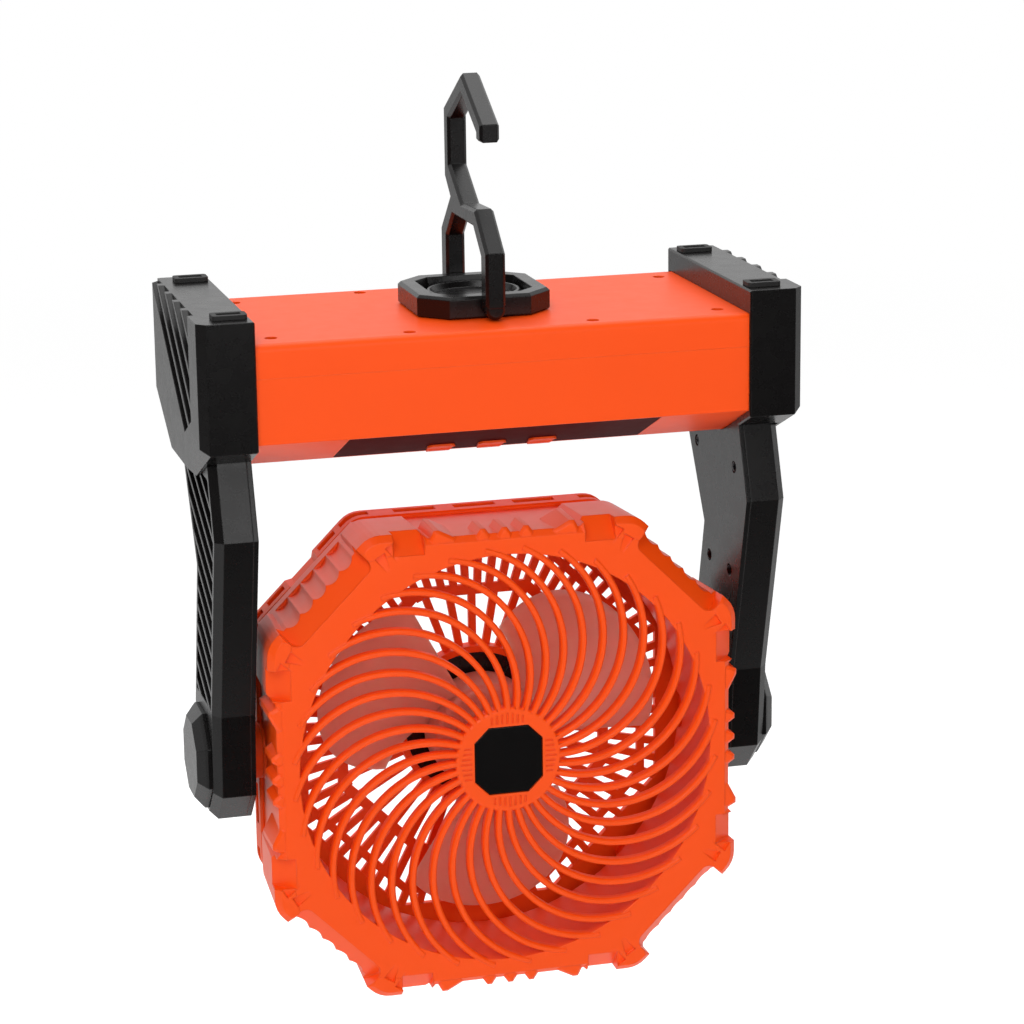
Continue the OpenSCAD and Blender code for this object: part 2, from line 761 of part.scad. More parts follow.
module bezel_teeth() {
    at_sides() {
        for (y = [-9.1, 0, 9.1])
            tooth([[y - 3, -0.5], [y - 1, 2.4], [y + 1, 2.4], [y + 3, -0.5]], 28);
        for (m = [0, 1]) mirror([0, m, 0])
            tooth([[20.5, -0.5], [27.4, 3.1], [29.6, 3.1], [31.4, -0.5]], 22);
    }
}

// Broad chamfers on the diagonal sides and in the lugs, each with a small step round it
module wedge(x, drop, w) {
    rotate([90, 0, 0]) linear_extrude(w, center = true)
        polygon([[x, bezel_d + 2], [x, bezel_d - 0.5], [x + chamfer_in + 1.4, bezel_d - 0.5 - drop],
        [x + 30, bezel_d - 0.5 - drop], [x + 30, bezel_d + 2]]);
}

module bezel_chamfers() {
    at_sides() rotate(45) {
        wedge(head_diag - chamfer_in, chamfer_drop, 38);
        for (s = [-1, 1]) translate([0, s * 19, 0]) intersection() {
            wedge(head_diag - chamfer_in, chamfer_drop, 8);
            translate([head_diag - chamfer_in + 4, 0, bezel_d - 20]) {
                cylinder(r = 4, h = 40);
                translate([0, -4, 0]) cube([40, 8, 40]);
            }
        }
    }
    at_corners() translate([0, 40.4, 0]) wedge(head_half - 6.2, 8.5, 13);
    // Facets in the inner flank of each lug
    at_corners() rotate(45) for (t = [25.4, 31.4]) translate([head_diag - 13.4, -t, bezel_d])
        rotate([0, 8, -14]) translate([0, -2.3, 0]) linear_extrude(6)
            polygon([[-3.4, 2.6], [7.6, -0.4], [7.6, 4.4]]);
    // Scallops down the diagonal sides
    at_sides() rotate(45) for (t = [-15.6 : 7.8 : 15.6])
        translate([head_diag * taper + 4.9, t, 6]) rotate([0, 2.4, 0]) cylinder(r = 6, h = far);
}

module bezel_shell() {
    difference() {
        union() {
            difference() {
                union() {
                    loft([[back_outline, 0], [front_outline, bezel_d - bezel_bevel],
                        [inset(front_outline, bezel_bevel), bezel_d]]);
                    at_corners() loft([[inset(taper * lug_outline, 2), 5], [taper * lug_outline, 7],
                        [lug_outline, bezel_d - 2.4], [inset(lug_outline, 2.6), bezel_d + 0.4]]);
                }
                bezel_chamfers();
            }
            bezel_teeth();
            for (s = [0, 180]) rotate(s) rotate([0, 90, 0]) translate([0, 0, opening_r + 1])
                cylinder(r = collar_r, h = rear_side - opening_r - 1);
        }
        translate([0, 0, -1]) cylinder(r = opening_r, h = far, $fn = 128);
        translate([0, 0, -far]) cylinder(r = far, h = far);
        difference() {
            translate([0, 0, -1]) linear_extrude(bezel_d - chamfer_drop - 3)
                polygon(inset(back_outline, head_wall));
            translate([0, 0, -2]) cylinder(r = opening_r + head_wall, h = far, $fn = 128);
            at_head_screws() translate([0, 0, -1]) cylinder(r = head_boss_r, h = far);
        }
    }
}

// How far round its own centre a rib runs before it reaches radius r
hub_start = hub_r - 1;
function rib_sweep(r) = let (a = 2 * hub_start * rib_r, b = 2 * rib_r * rib_r,
    c = r * r - hub_start * hub_start - b) atan2(b, a) + asin(c / norm([a, b]));

module rib() {
    translate([hub_start, rib_r, grille_top - rib_d]) rotate(-90)
        rotate_extrude(angle = rib_sweep(opening_r + 2.6), $fn = 96) translate([rib_r, 0])
        polygon([[-rib_w / 2, 0], [rib_w / 2, 0], [rib_w / 2, rib_d - 1], [rib_w / 4, rib_d],
            [-rib_w / 4, rib_d], [-rib_w / 2, rib_d - 1]]);
}

module hub_ring() {
    translate([0, 0, grille_top - hub_t]) difference() {
        rotate_extrude() polygon([[0, 0], [hub_r, 0], [hub_r, hub_t - 0.8], [hub_r - 0.8, hub_t],
            [0, hub_t]]);
        translate([0, 0, hub_t - plate_seat]) linear_extrude(far)
            polygon(octagon(plate_w / 2 + seat_gap, plate_cut));
        for (a = [0 : 90 : 270], i = [-3 : 3]) rotate(a) translate([plate_w / 2 + 1.4, i * 2.2, hub_t - 0.5])
            cube([4.6 - abs(i) * 0.5, 0.8, 1]);
    }
}

module front_grille() {
    color(orange) head_frame() difference() {
        union() {
            bezel_shell();
            for (i = [0 : rib_n - 1]) rotate(i * 360 / rib_n) rib();
            hub_ring();
        }
        for (s = [0, 180]) rotate(s) rotate([0, 90, 0]) cylinder(r = spigot_r + run_gap, h = far);
        at_head_screws() translate([0, 0, -1]) cylinder(r = screw_r + run_gap, h = 18);
    }
}

plate_seat = 2;
module hub_plate() {
    color(black) head_frame() translate([0, 0, grille_top - plate_seat])
        bevel_prism(octagon(plate_w / 2, plate_cut), plate_seat - 0.3, 0, 0.4);
}

head_boss_r = 4.2;
module at_head_screws() {
    for (a = [0 : 90 : 270]) rotate(a + 45) translate([rear_diag - 10.4, 0, 0]) children();
}

module head_screws() {
    color(steel) head_frame() at_head_screws() difference() {
        union() {
            translate([0, 0, -rear_d + pocket_floor - screw_head_h])
                cylinder(r = pocket_r - 0.2, h = screw_head_h);
            translate([0, 0, -rear_d + pocket_floor - eps]) cylinder(r = screw_r, h = rear_d + 11);
        }
        translate([0, 0, -rear_d + pocket_floor - screw_head_h]) for (a = [0, 90]) rotate(a)
            cube([2.6, 0.6, 1.6], center = true);
    }
}

/* Rear cover */
rear_hub_r = mount_r + 3;
frame_in = rear_side - 15;
rear_in = rear_side - head_wall;
rear_bevel = 3;

module octagon_band(half, w) {
    difference() {
        polygon(octagon(half + w / 2, regular_cut(half + w / 2)));
        polygon(octagon(half - w / 2, regular_cut(half - w / 2)));
    }
}

// The struts lie a little deeper than the frame round them
strut_sink = 0.4;
module rear_struts() {
    translate([0, 0, strut_sink]) linear_extrude(strut_t - strut_sink) {
        for (i = [0 : strut_n - 1]) rotate(i * 360 / strut_n)
            translate([rear_hub_r - 1, -strut_w / 2]) square([band_in - rear_hub_r + 2, strut_w]);
        for (i = [0 : 2 * strut_n - 1]) rotate((i + 0.5) * 180 / strut_n)
            translate([band_in + 1, -strut_w / 2]) square([frame_in - band_in + 6, strut_w]);
        octagon_band(band_in, 4.4);
        octagon_band(band_out, 3.4);
        difference() {
            circle(rear_hub_r);
            circle(mount_r - 3);
        }
    }
}

module rear_cover() {
    color(orange) head_frame() difference() {
        union() {
            difference() {
                translate([0, 0, -rear_d]) bevel_prism(rear_outline, rear_d - seat_gap, rear_bevel, 0.8);
                translate([0, 0, -rear_d + strut_t + strut_sink]) linear_extrude(far)
                    polygon(octagon(rear_in, head_cut(rear_in, rear_diag - notch_h - head_wall)));
                translate([0, 0, -rear_d - 1]) linear_extrude(far)
                    polygon(octagon(frame_in, regular_cut(frame_in)));
                at_sides() {
                    for (y = [-26, 0, 26]) translate([rear_side - 2, y, -rear_d / 2 + 0.5])
                        cube([20, 18, 5], center = true);
                    for (t = [-15.6, 15.6]) rotate(45) translate([rear_diag - 2, t, -rear_d / 2 + 0.5])
                        cube([20, 10, 5], center = true);
                }
                at_sides() rotate(45) translate([rear_diag, 0, -rear_d - 1]) linear_extrude(far)
                    polygon([[1, notch + notch_h + 1], [-notch_h, notch], [-notch_h, -notch],
                    [1, -notch - notch_h - 1]]);
                at_corners() translate([rear_side, rear_diag * sqrt(2) - rear_side, -rear_d / 2 + 0.5])
                    rotate(atan(rear_diag * sqrt(2) / rear_side - 1)) cube([18, 13, 5], center = true);
            }
            translate([0, 0, -rear_d]) rear_struts();
            translate([0, 0, -rear_d]) difference() {
                cylinder(r = rear_hub_r, h = strut_t + mount_t);
                translate([0, 0, -1]) cylinder(r = mount_r + seat_gap, h = far);
            }
            at_head_screws() translate([0, 0, -rear_d + 1])
                cylinder(r = head_boss_r, h = rear_d - 1 - seat_gap);
        }
        at_head_screws() {
            translate([0, 0, -rear_d - 1]) cylinder(r = pocket_r, h = 1 + pocket_floor);
            translate([0, 0, -rear_d]) cylinder(r = screw_r + seat_gap, h = far);
        }
        for (s = [0, 180]) rotate(s) rotate([0, 90, 0]) cylinder(r = spigot_r + run_gap, h = far);
    }
}

/* Motor and blades */
mount_z = -rear_d + strut_t;
motor_z = mount_z + mount_t;
motor_top = motor_z + motor_l;
motor_screw_r = 13;
hub_low = motor_z + 4;
hub_top = motor_top + 4;
hub_skin = 2;

module at_motor_screws() {
    for (a = [90, 210, 330]) rotate(a) translate([motor_screw_r, 0, 0]) children();
}

module motor_mount() {
    color(black) head_frame() translate([0, 0, mount_z]) difference() {
        cylinder(r = mount_r, h = mount_t);
        translate([0, 0, -1]) cylinder(r = 6, h = mount_t + 2);
        at_motor_screws() {
            translate([0, 0, -1]) cylinder(r = screw_r + seat_gap, h = mount_t + 2);
            translate([0, 0, -1]) cylinder(r = pocket_r, h = 1 + screw_head_h + 0.2);
        }
        for (a = [0 : 30 : 330]) rotate(a) translate([22, -1, mount_t - 0.8]) cube([6, 2, 1]);
    }
}

module motor() {
    color(steel) head_frame() translate([0, 0, motor_z]) difference() {
        union() {
            cylinder(r = motor_r, h = motor_l - 1.5);
            cylinder(r = motor_r - 1.5, h = motor_l);
        }
        translate([0, 0, 3]) cylinder(r = shaft_r + run_gap, h = far);
        at_motor_screws() translate([0, 0, -1]) cylinder(r = screw_r + run_gap, h = 7);
        for (a = [0 : 60 : 300]) rotate(a) translate([motor_r, 0, motor_l / 2])
            cube([2, 6, motor_l / 2], center = true);
    }
}

module motor_screws() {
    color(steel) head_frame() at_motor_screws() translate([0, 0, mount_z]) difference() {
        union() {
            translate([0, 0, 0.2]) cylinder(r = pocket_r - 0.2, h = screw_head_h);
            translate([0, 0, 1]) cylinder(r = screw_r, h = 8);
        }
        for (a = [0, 90]) rotate(a) cube([2.6, 0.6, 1.6], center = true);
    }
}

module motor_shaft() {
    color(steel) head_frame() translate([0, 0, motor_z + 3 + move_gap])
        cylinder(r = shaft_r, h = hub_top - motor_z - 3 - move_gap + 3);
}

// A blade's front: how far its edge reaches at each angle, and how deep it lies
blade_steps = 16;
blade_rings = 9;
blade_root = spinner_r - 1.2;
function blade_reach(s) = blade_r * (1 - 0.42 * pow(s, 5)) * (1 - 0.1 * pow(1 - s, 6));
function blade_depth(s, q) = hub_low + 3 + blade_pitch * (1 - s)
    + 2 * sin(180 * s) * q;
function blade_point(s, q, o) = let (r = blade_root + (blade_reach(s) - blade_root) * q,
    a = blade_span * (s - 0.5) * (0.62 + 0.38 * q) + 14 * q)
    [r * cos(a), r * sin(a), blade_depth(s, q) + o];

module blade() {
    n = blade_steps + 1;
    m = blade_rings + 1;
    function at(i, j, top) = (top ? n * m : 0) + i * m + j;
    pts = concat([for (i = [0 : blade_steps], j = [0 : blade_rings])
        blade_point(i / blade_steps, j / blade_rings, 0)],
        [for (i = [0 : blade_steps], j = [0 : blade_rings])
        blade_point(i / blade_steps, j / blade_rings, blade_t)]);
    faces = concat(
        [for (i = [0 : blade_steps - 1], j = [0 : blade_rings - 1])
            [at(i, j, true), at(i + 1, j, true), at(i + 1, j + 1, true), at(i, j + 1, true)]],
        [for (i = [0 : blade_steps - 1], j = [0 : blade_rings - 1])
            [at(i, j, false), at(i, j + 1, false), at(i + 1, j + 1, false), at(i + 1, j, false)]],
        [for (i = [0 : blade_steps - 1], e = [0, blade_rings])
            e == 0 ? [at(i, 0, false), at(i + 1, 0, false), at(i + 1, 0, true), at(i, 0, true)]
            : [at(i, e, false), at(i, e, true), at(i + 1, e, true), at(i + 1, e, false)]],
        [for (j = [0 : blade_rings - 1], e = [0, blade_steps])
            e == 0 ? [at(0, j, false), at(0, j, true), at(0, j + 1, true), at(0, j + 1, false)]
            : [at(e, j, false), at(e, j + 1, false), at(e, j + 1, true), at(e, j, true)]]);
    polyhedron(pts, faces);
}

module impeller() {
    color(milky) head_frame() union() {
        for (i = [0 : blade_n - 1]) rotate(i * 360 / blade_n + 25) difference() {
            blade();
            translate([0, 0, -far / 2]) cylinder(r = spinner_r - hub_skin / 2, h = far);
        }
        difference() {
            translate([0, 0, hub_low]) cylinder(r = spinner_r, h = hub_top - hub_low);
            translate([0, 0, hub_low - 1]) cylinder(r = spinner_r - hub_skin, h = hub_top - hub_low + 1 - hub_skin);
            translate([0, 0, hub_low]) cylinder(r = shaft_r, h = far);
        }
        difference() {
            translate([0, 0, motor_top + move_gap + 1]) cylinder(r = 5, h = hub_top - motor_top - move_gap + 0.5);
            cylinder(r = shaft_r, h = far);
        }
    }
}

/* Hook and its ring */
web_t = 3;
ring_base = move_gap;
hinge_z = ring_h / 2;
ring_in = ring_half - ring_wall;
dish_floor = ring_base + web_t + move_gap;

module hook_ring() {
    color(black) hung() difference() {
        translate([0, 0, ring_base])
            bevel_prism(octagon(ring_half, ring_cut), ring_h - ring_base, 0.6, 1.2);
        translate([0, 0, ring_base + web_t]) loft([
            [octagon(ring_in - 1, ring_cut * 0.62), 0],
            [octagon(ring_in, ring_cut * 0.62), ring_h - ring_base - web_t + 1]]);
        translate([0, 0, -1]) cylinder(r = spindle_r + move_gap, h = 20);
        for (s = [-1, 1]) translate([0, s * (ring_in + 1), hinge_z]) rotate([-90 * s, 0, 0])
            cylinder(r = pin_r, h = ring_wall);
    }
}

module ring_dish() {
    color(black) hung() difference() {
        union() {
            translate([0, 0, -wall]) cylinder(r = spindle_r, h = wall + dish_floor + 0.5);
            translate([0, 0, dish_floor]) rotate_extrude() polygon([[0, 0], [dish_r, 0],
                [dish_r + 0.8, 1], [dish_r + 0.8, 3], [dish_r, 3.8], [dish_r - 1, 3.8],
                [dish_r - 2.4, 1.4], [0, 1.4]]);
        }
        translate([0, 0, -wall - 1]) cylinder(r = screw_r + run_gap, h = 6);
    }
}

module ring_screw() {
    color(steel) hung() {
        translate([0, 0, -wall - 1.6]) cylinder(r = spindle_r + 3, h = 1.6);
        translate([0, 0, -wall - 3.6]) cylinder(r = 3, h = 2 + eps);
        translate([0, 0, -wall - 1]) cylinder(r = screw_r, h = 5.5);
    }
}

// The hook seen from its right end: a fork, a slanting neck, a stem and a peaked crook
leg_in = ring_half + move_gap;
leg_out = leg_in + leg_t;
stem_out = 29.8;
stem_in = stem_out - bar_t;
tip_out = 30.6;
roof_a = 29.5;
peak_h = throat_h + bar_t / cos(roof_a);
neck_low = 43;
eye_r = bar_w / 2 - 0.2;
hook_outline = flip([[-leg_out, hinge_z + 1], [-leg_out, 28], [-19.5, neck_low + 0.4], [2.5, neck_low - 0.3],
    [stem_in, neck_low + 13], [stem_in, throat_h - stem_in * tan(roof_a)], [0, throat_h],
    [-tip_out + bar_t, throat_h - (tip_out - bar_t) * tan(roof_a)], [-tip_out + bar_t, throat_h - 16.3],
    [-tip_out, throat_h - 16.3], [-tip_out, peak_h - tip_out * tan(roof_a)], [0, peak_h],
    [stem_out, peak_h - stem_out * tan(roof_a)], [stem_out, neck_low + 7.2], [21.5, neck_low],
    [leg_out, 28], [leg_out, hinge_z + 1], [leg_in, hinge_z], [leg_in, 25.4], [17.5, neck_low - bar_t],
    [-16.5, neck_low - bar_t], [-leg_in, 25.4], [-leg_in, hinge_z - 1]]);
hook_faces = [[0, 1, 21, 22], [1, 2, 20, 21], [2, 3, 19, 20], [3, 8, 19], [3, 4, 7, 8], [4, 5, 6, 7],
    [8, 9, 18, 19], [9, 10, 17, 18], [10, 11, 16, 17], [11, 12, 15, 16], [12, 13, 14, 15]];

module hook() {
    color(black) hung() difference() {
        union() {
            along_x(-bar_w / 2) bevel_prism(hook_outline, bar_w, bar_bevel, bar_bevel, hook_faces);
            for (s = [-1, 1]) translate([0, s * leg_in, hinge_z]) rotate([-90 * s, 0, 0])
                rotate_extrude() polygon([[0, 0.1], [eye_r - 1, 0.1], [eye_r, 1.1],
                    [eye_r, leg_t - 1.3], [eye_r - 1, leg_t - 0.3], [0, leg_t - 0.3]]);
        }
        for (s = [-1, 1]) translate([0, s * (leg_in - 1), hinge_z]) rotate([-90 * s, 0, 0])
            cylinder(r = pin_r + run_gap, h = leg_t - 1);
    }
}

module hook_pins() {
    color(steel) hung() for (s = [-1, 1]) translate([0, s * (ring_in + 1.4), hinge_z])
        rotate([-90 * s, 0, 0]) cylinder(r = pin_r, h = ring_wall - 1.4 + leg_t - 2.6);
}

base_cover();
base_housing();
base_screws();
battery_holder();
battery_cells();
circuit_board();
charge_port();
control_panel();
button_left();
button_middle();
button_right();
left_end_cap();
right_end_cap();
feet();
left_arm();
right_arm();
left_arm_cover();
right_arm_cover();
arm_screws();
left_bush();
right_bush();
left_pivot_cap();
right_pivot_cap();
front_grille();
hub_plate();
rear_cover();
head_screws();
left_pivot();
right_pivot();
motor_mount();
motor();
motor_screws();
motor_shaft();
impeller();
hook_ring();
ring_dish();
ring_screw();
hook();
hook_pins();
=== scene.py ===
"""Looks of a portable camping fan that hangs from its own hook: bright orange shells, black
fittings, milky blades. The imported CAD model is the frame; this script gives it finishes, screws and
smooth blades, and a plain pale studio. Lengths are in metres, +Z is up and the grille faces -Y."""
import math

import bmesh
import bpy
from bpy.props import FloatProperty, FloatVectorProperty, IntProperty, PointerProperty
from mathutils import Matrix, Vector


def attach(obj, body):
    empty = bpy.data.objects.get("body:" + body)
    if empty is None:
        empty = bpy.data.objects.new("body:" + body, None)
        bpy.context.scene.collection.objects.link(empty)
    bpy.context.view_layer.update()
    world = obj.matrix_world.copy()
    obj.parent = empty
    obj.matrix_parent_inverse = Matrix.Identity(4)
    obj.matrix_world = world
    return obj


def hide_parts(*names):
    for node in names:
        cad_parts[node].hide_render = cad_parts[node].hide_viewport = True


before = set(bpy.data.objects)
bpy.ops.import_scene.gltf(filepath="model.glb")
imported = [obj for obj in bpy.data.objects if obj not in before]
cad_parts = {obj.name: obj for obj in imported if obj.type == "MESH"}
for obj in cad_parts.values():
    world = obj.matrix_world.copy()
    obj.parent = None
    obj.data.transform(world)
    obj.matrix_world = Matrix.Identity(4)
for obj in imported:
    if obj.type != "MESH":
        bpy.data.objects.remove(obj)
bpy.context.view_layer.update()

bl_info = {
    "name": "Camping fan looks",
    "version": (1, 0, 0),
    "blender": (4, 5, 0),
    "location": "View3D > Sidebar > Camping fan",
    "description": "Moulded finishes, screws and blades for a folding camping fan",
    "category": "Object",
}

MM = 0.001
# Points closer than this are one point, in metres; no blade is thinner than this, in millimetres
SAME_POINT, THINNEST = 1e-6, 1e-4

# Where the CAD puts things, in millimetres. The hook's seat is the frame's origin; the tilt axis
# is given from there, and the screws from the base's top face, which lies this far below it
SEAT_DROP = 88.0
TILT_AXIS = Vector((0.0, -2.0, -182.5 - SEAT_DROP))
COVER_SCREWS = [(x, y) for x in (-93, 93) for y in (-39.5, 39.5)] + \
    [(x, y) for x in (-38, 38) for y in (-45.3, 45.3)]
ARM_SCREWS = [(15, -67.7), (-33.7, -68.5), (-2, -114.3), (-28, -114.3)]
COVER_SCREW_SEAT = -2.95
ARM_SCREW_SEAT = 103.9
# The head's own screws: the radius that they stand on, and their place along the head's axis
HEAD_SCREW_RADIUS, HEAD_SCREW_SEAT = 95.6, -12.05
MOTOR_SCREW_RADIUS, MOTOR_SCREW_SEAT = 13, -10.7
# The impeller's hub along its own axis: its ends, the thickness of its wall and front, and the
# radius of its front edge; then the radii of the shaft's bore and boss, and the boss's end
HUB_LOW, HUB_TOP = -4.4, 16.6
HUB_WALL, HUB_EDGE = 2, 3
BORE, BOSS, BOSS_END = 2, 5, 13.9
# The blades, in millimetres and degrees: the first one's place, how deep a root sits in the hub,
# the turn of a blade round the hub, the share of it that the root has, and its lean at the tip
FIRST_BLADE = 25
BLADE_SINK = 1.2
BLADE_TURN, ROOT_SHARE, BLADE_LEAN = 80, 0.62, 14
# How far a blade draws in at its nose and its tail, as a share of its reach, and how sharply
NOSE_CUT, NOSE_POWER = 0.1, 6
TAIL_CUT, TAIL_POWER = 0.42, 5
# The height of a blade's tail along the axis, the rise to its nose, and the belly between them
TAIL_HEIGHT, NOSE_RISE, BLADE_BELLY = -0.6, 15, 2
# Steps of a blade's mesh, and how steeply its rim rounds off
BLADE_STEPS_ALONG, BLADE_STEPS_OUT, BLADE_RIM, TIP_RIM = 44, 30, 26, 1.2

# The camera, fitted to the photograph: turned to the left, above, slightly rolled, in degrees;
# its offset to the right, upwards and back from the base's top face, in millimetres
CAMERA_TURN, CAMERA_RISE, CAMERA_ROLL = -15.044, 14.352, -0.746
CAMERA_OFFSET = (15.928, -85.213, 1345.124)
IMAGE_WIDTH, FOCAL_PIXELS, SENSOR = 1024, 3251.8, 36

# The studio, in metres: each lamp's place, width and power, and what they all point at
LAMPS = (("key_light", (-0.75, -1.1, 0.95), 1.0, "key"),
         ("front_light", (0.1, -1.7, 0.25), 0.8, "front"),
         ("top_light", (0.1, 0.35, 1.1), 1.3, "top"))
AIM = Vector((0, 0, -0.22))
# Half the floor's width, the depth of its middle, where its dim front begins and is full, and
# where it begins to fade and is plain white
FLOOR_HALF, FLOOR_MIDDLE = 6, 2
FLOOR_DIM = (-0.1, -0.5)
FLOOR_FADE = (1.2, 3.2)
# Where the dim room turns into the white wall, as the depth of a ray's direction
ROOM_TO_WALL = (-0.1, 0.35)

# Moulded surfaces: the size of flow marks and of the patches that break up the painted edge highlight
# and vary the roughness;
# how far the soft normal turns from the true one, as a cosine, where the painted highlight on an edge
# begins and is full
FLOW_MARK, HIGHLIGHT_AND_GLOSS_PATCH = 45 * MM, 7 * MM
EDGE_BEGIN, EDGE_FULL = 0.995, 0.86
BEVEL_SAMPLES = 6


def from_hex(text):
    """An sRGB hex colour as the linear numbers that Blender works in."""
    parts = [int(text[i:i + 2], 16) / 255 for i in (1, 3, 5)]
    return tuple(c / 12.92 if c <= 0.04045 else ((c + 0.055) / 1.055) ** 2.4 for c in parts)


def colour_prop(name, description, text):
    return FloatVectorProperty(name=name, description=description, subtype="COLOR", size=3,
                               min=0, max=1, default=from_hex(text))


def length_prop(name, description, millimetres):
    return FloatProperty(name=name, description=description, default=millimetres * MM, min=0,
                         unit="LENGTH", subtype="DISTANCE", precision=5)


class FanColours(bpy.types.PropertyGroup):
    orange: colour_prop("Orange", "Moulded shells, bezel, grille and buttons", "#FF520C")
    black: colour_prop("Black", "End caps, arms, hook and its ring", "#0D0B0B")
    # Pink-orange: partly the blades' own milky tint, partly painted orange light that the shells round
    # them cast on them
    blade: colour_prop("Blades", "Milky plastic of the impeller", "#FF9E8A")
    panel: colour_prop("Panel", "Dark lens over the buttons", "#480506")
    plate: colour_prop("Hub plate", "Gloss plate in the middle of the grille", "#0E0C0C")
    rubber: colour_prop("Rubber", "Feet on the end caps", "#171616")
    steel: colour_prop("Screws", "Black oxide on the steel screws", "#2A2A2C")
    pin: colour_prop("Bare steel", "Pins, shaft and motor can", "#B9BBBE")


class FanSizes(bpy.types.PropertyGroup):
    grain: length_prop("Mould grain", "Size of the moulds' matt texture, as coarse as it shows", 0.9)
    edge: length_prop("Edge radius", "Radius that a moulded edge seems to have", 0.55)
    blade_count: IntProperty(name="Blades", description="Number of blades", default=3, min=2, max=5)
    blade_reach: length_prop("Blade reach", "Radius of the blade tips", 77)
    blade_thick: length_prop("Blade thickness", "Thickness of a blade", 1.5)
    spinner: length_prop("Hub radius", "Radius of the hub that carries the blades", 24)
    screw_head: length_prop("Screw head", "Radius of a screw head", 2.4)
    screw_rise: length_prop("Screw head height", "Height of a screw head", 1.5)


class FanStage(bpy.types.PropertyGroup):
    key: FloatProperty(name="Key light", description="Power of the large light from the upper left",
                       default=12, min=0, unit="POWER")
    front: FloatProperty(name="Front light", description="Power of the light beside the camera",
                         default=7, min=0, unit="POWER")
    top: FloatProperty(name="Top light", description="Power of the light from above",
                       default=9, min=0, unit="POWER")
    ambient: FloatProperty(name="Ambient", description="Light from the room before the fan",
                           default=0.26, min=0)
    wall: FloatProperty(name="Wall", description="Light from the white wall behind the fan",
                        default=0.9, min=0)
    backdrop: FloatProperty(name="Backdrop", description="Extra white of the floor to the camera",
                            default=0.42, min=0)
    dark_front: FloatProperty(name="Dark front", description="What shines back off fronts: the dim "
                              "room before the stage", default=0.03, min=0)
    floor_drop: length_prop("Floor", "How far the floor lies below the hook's seat", 620)


# Nodes and materials

def add(tree, kind, inputs=None, **settings):
    """Adds one node with its settings; inputs holds values, or the sockets to link, by name."""
    node = tree.nodes.new(kind)
    for name, value in settings.items():
        setattr(node, name, value)
    for name, value in (inputs or {}).items():
        if isinstance(value, bpy.types.NodeSocket):
            tree.links.new(value, node.inputs[name])
        else:
            node.inputs[name].default_value = value
    return node


def new_material(name):
    """An empty material, its tree and the socket that says where a point of the piece lies."""
    material = bpy.data.materials.new(name)
    material.use_nodes = True
    tree = material.node_tree
    tree.nodes.clear()
    return material, tree, add(tree, "ShaderNodeTexCoord").outputs["Object"]


def finish_material(tree, shader):
    add(tree, "ShaderNodeOutputMaterial", {"Surface": shader.outputs[0]})


def principled(tree, **inputs):
    """The one shader of a material; an input's name is its socket's, with _ for a space."""
    shader = add(tree, "ShaderNodeBsdfPrincipled",
                 {name.replace("_", " "): value for name, value in inputs.items()})
    finish_material(tree, shader)


def noise(tree, place, size, detail=2.0):
    return add(tree, "ShaderNodeTexNoise", {"Vector": place, "Scale": 1 / size,
                                            "Detail": detail}).outputs["Fac"]


def spread(tree, value, low, high):
    """Maps a value between 0 and 1 to one between low and high."""
    return add(tree, "ShaderNodeMapRange", {"Value": value, "To Min": low,
                                            "To Max": high}).outputs[0]


def tinted(tree, colour, value):
    return add(tree, "ShaderNodeHueSaturation", {"Color": (*colour, 1),
                                                 "Value": value}).outputs[0]


def product(tree, first, second):
    return add(tree, "ShaderNodeMath", {0: first, 1: second}, operation="MULTIPLY").outputs[0]


def raised(tree, height, distance, strength, **normal):
    return add(tree, "ShaderNodeBump", {"Height": height, "Distance": distance,
                                        "Strength": strength, **normal}).outputs[0]


def softened(tree, radius):
    """A normal that runs round the edges, as if they had this radius."""
    return add(tree, "ShaderNodeBevel", {"Radius": radius}, samples=BEVEL_SAMPLES).outputs[0]


def seen_directly(tree, ray):
    """1 for a ray from the camera, also through clear plastic, and 0 for every other."""
    return add(tree, "ShaderNodeMath", {0: ray.outputs["Is Camera Ray"],
                                        1: ray.outputs["Is Transmission Ray"]},
               operation="MAXIMUM").outputs[0]


def moulded(name, colour, roughness, ior, grain, depth, edge, edge_highlight, mottle=0.05, coat=0.0):
    """A moulded plastic: spark-eroded grain, soft edges that catch the light and are painted paler as
    a highlight, slight flow mottling.
    """
    material, tree, place = new_material(name)
    flow = noise(tree, place, FLOW_MARK, 3.0)
    tint = tinted(tree, colour, spread(tree, flow, 1 - mottle, 1 + mottle))
    soft = softened(tree, edge)
    facing = add(tree, "ShaderNodeNewGeometry")
    bend = add(tree, "ShaderNodeVectorMath", {0: soft, 1: facing.outputs["Normal"]},
               operation="DOT_PRODUCT")
    # Painted highlight: where the soft normal turns from the true one, the edge is painted a paler
    # colour, broken up in patches
    highlight_mask = add(tree, "ShaderNodeMapRange", {"Value": bend.outputs["Value"], "From Min": EDGE_BEGIN,
                                           "From Max": EDGE_FULL, "To Min": 0.0, "To Max": edge_highlight})
    patchy = noise(tree, place, HIGHLIGHT_AND_GLOSS_PATCH, 4.0)
    highlight_colour = (*[min(1, c * 1.5 + 0.05) for c in colour], 1)
    painted_highlight = add(tree, "ShaderNodeMix", {"Factor": product(tree, highlight_mask.outputs[0], patchy), 6: tint,
                                       7: highlight_colour}, data_type="RGBA")
    principled(tree, Base_Color=painted_highlight.outputs[2],
               Roughness=spread(tree, patchy, roughness - 0.04, roughness + 0.05), IOR=ior,
               Normal=raised(tree, noise(tree, place, grain), depth, 0.6, Normal=soft),
               Coat_Weight=coat, Coat_Roughness=0.12)
    return material


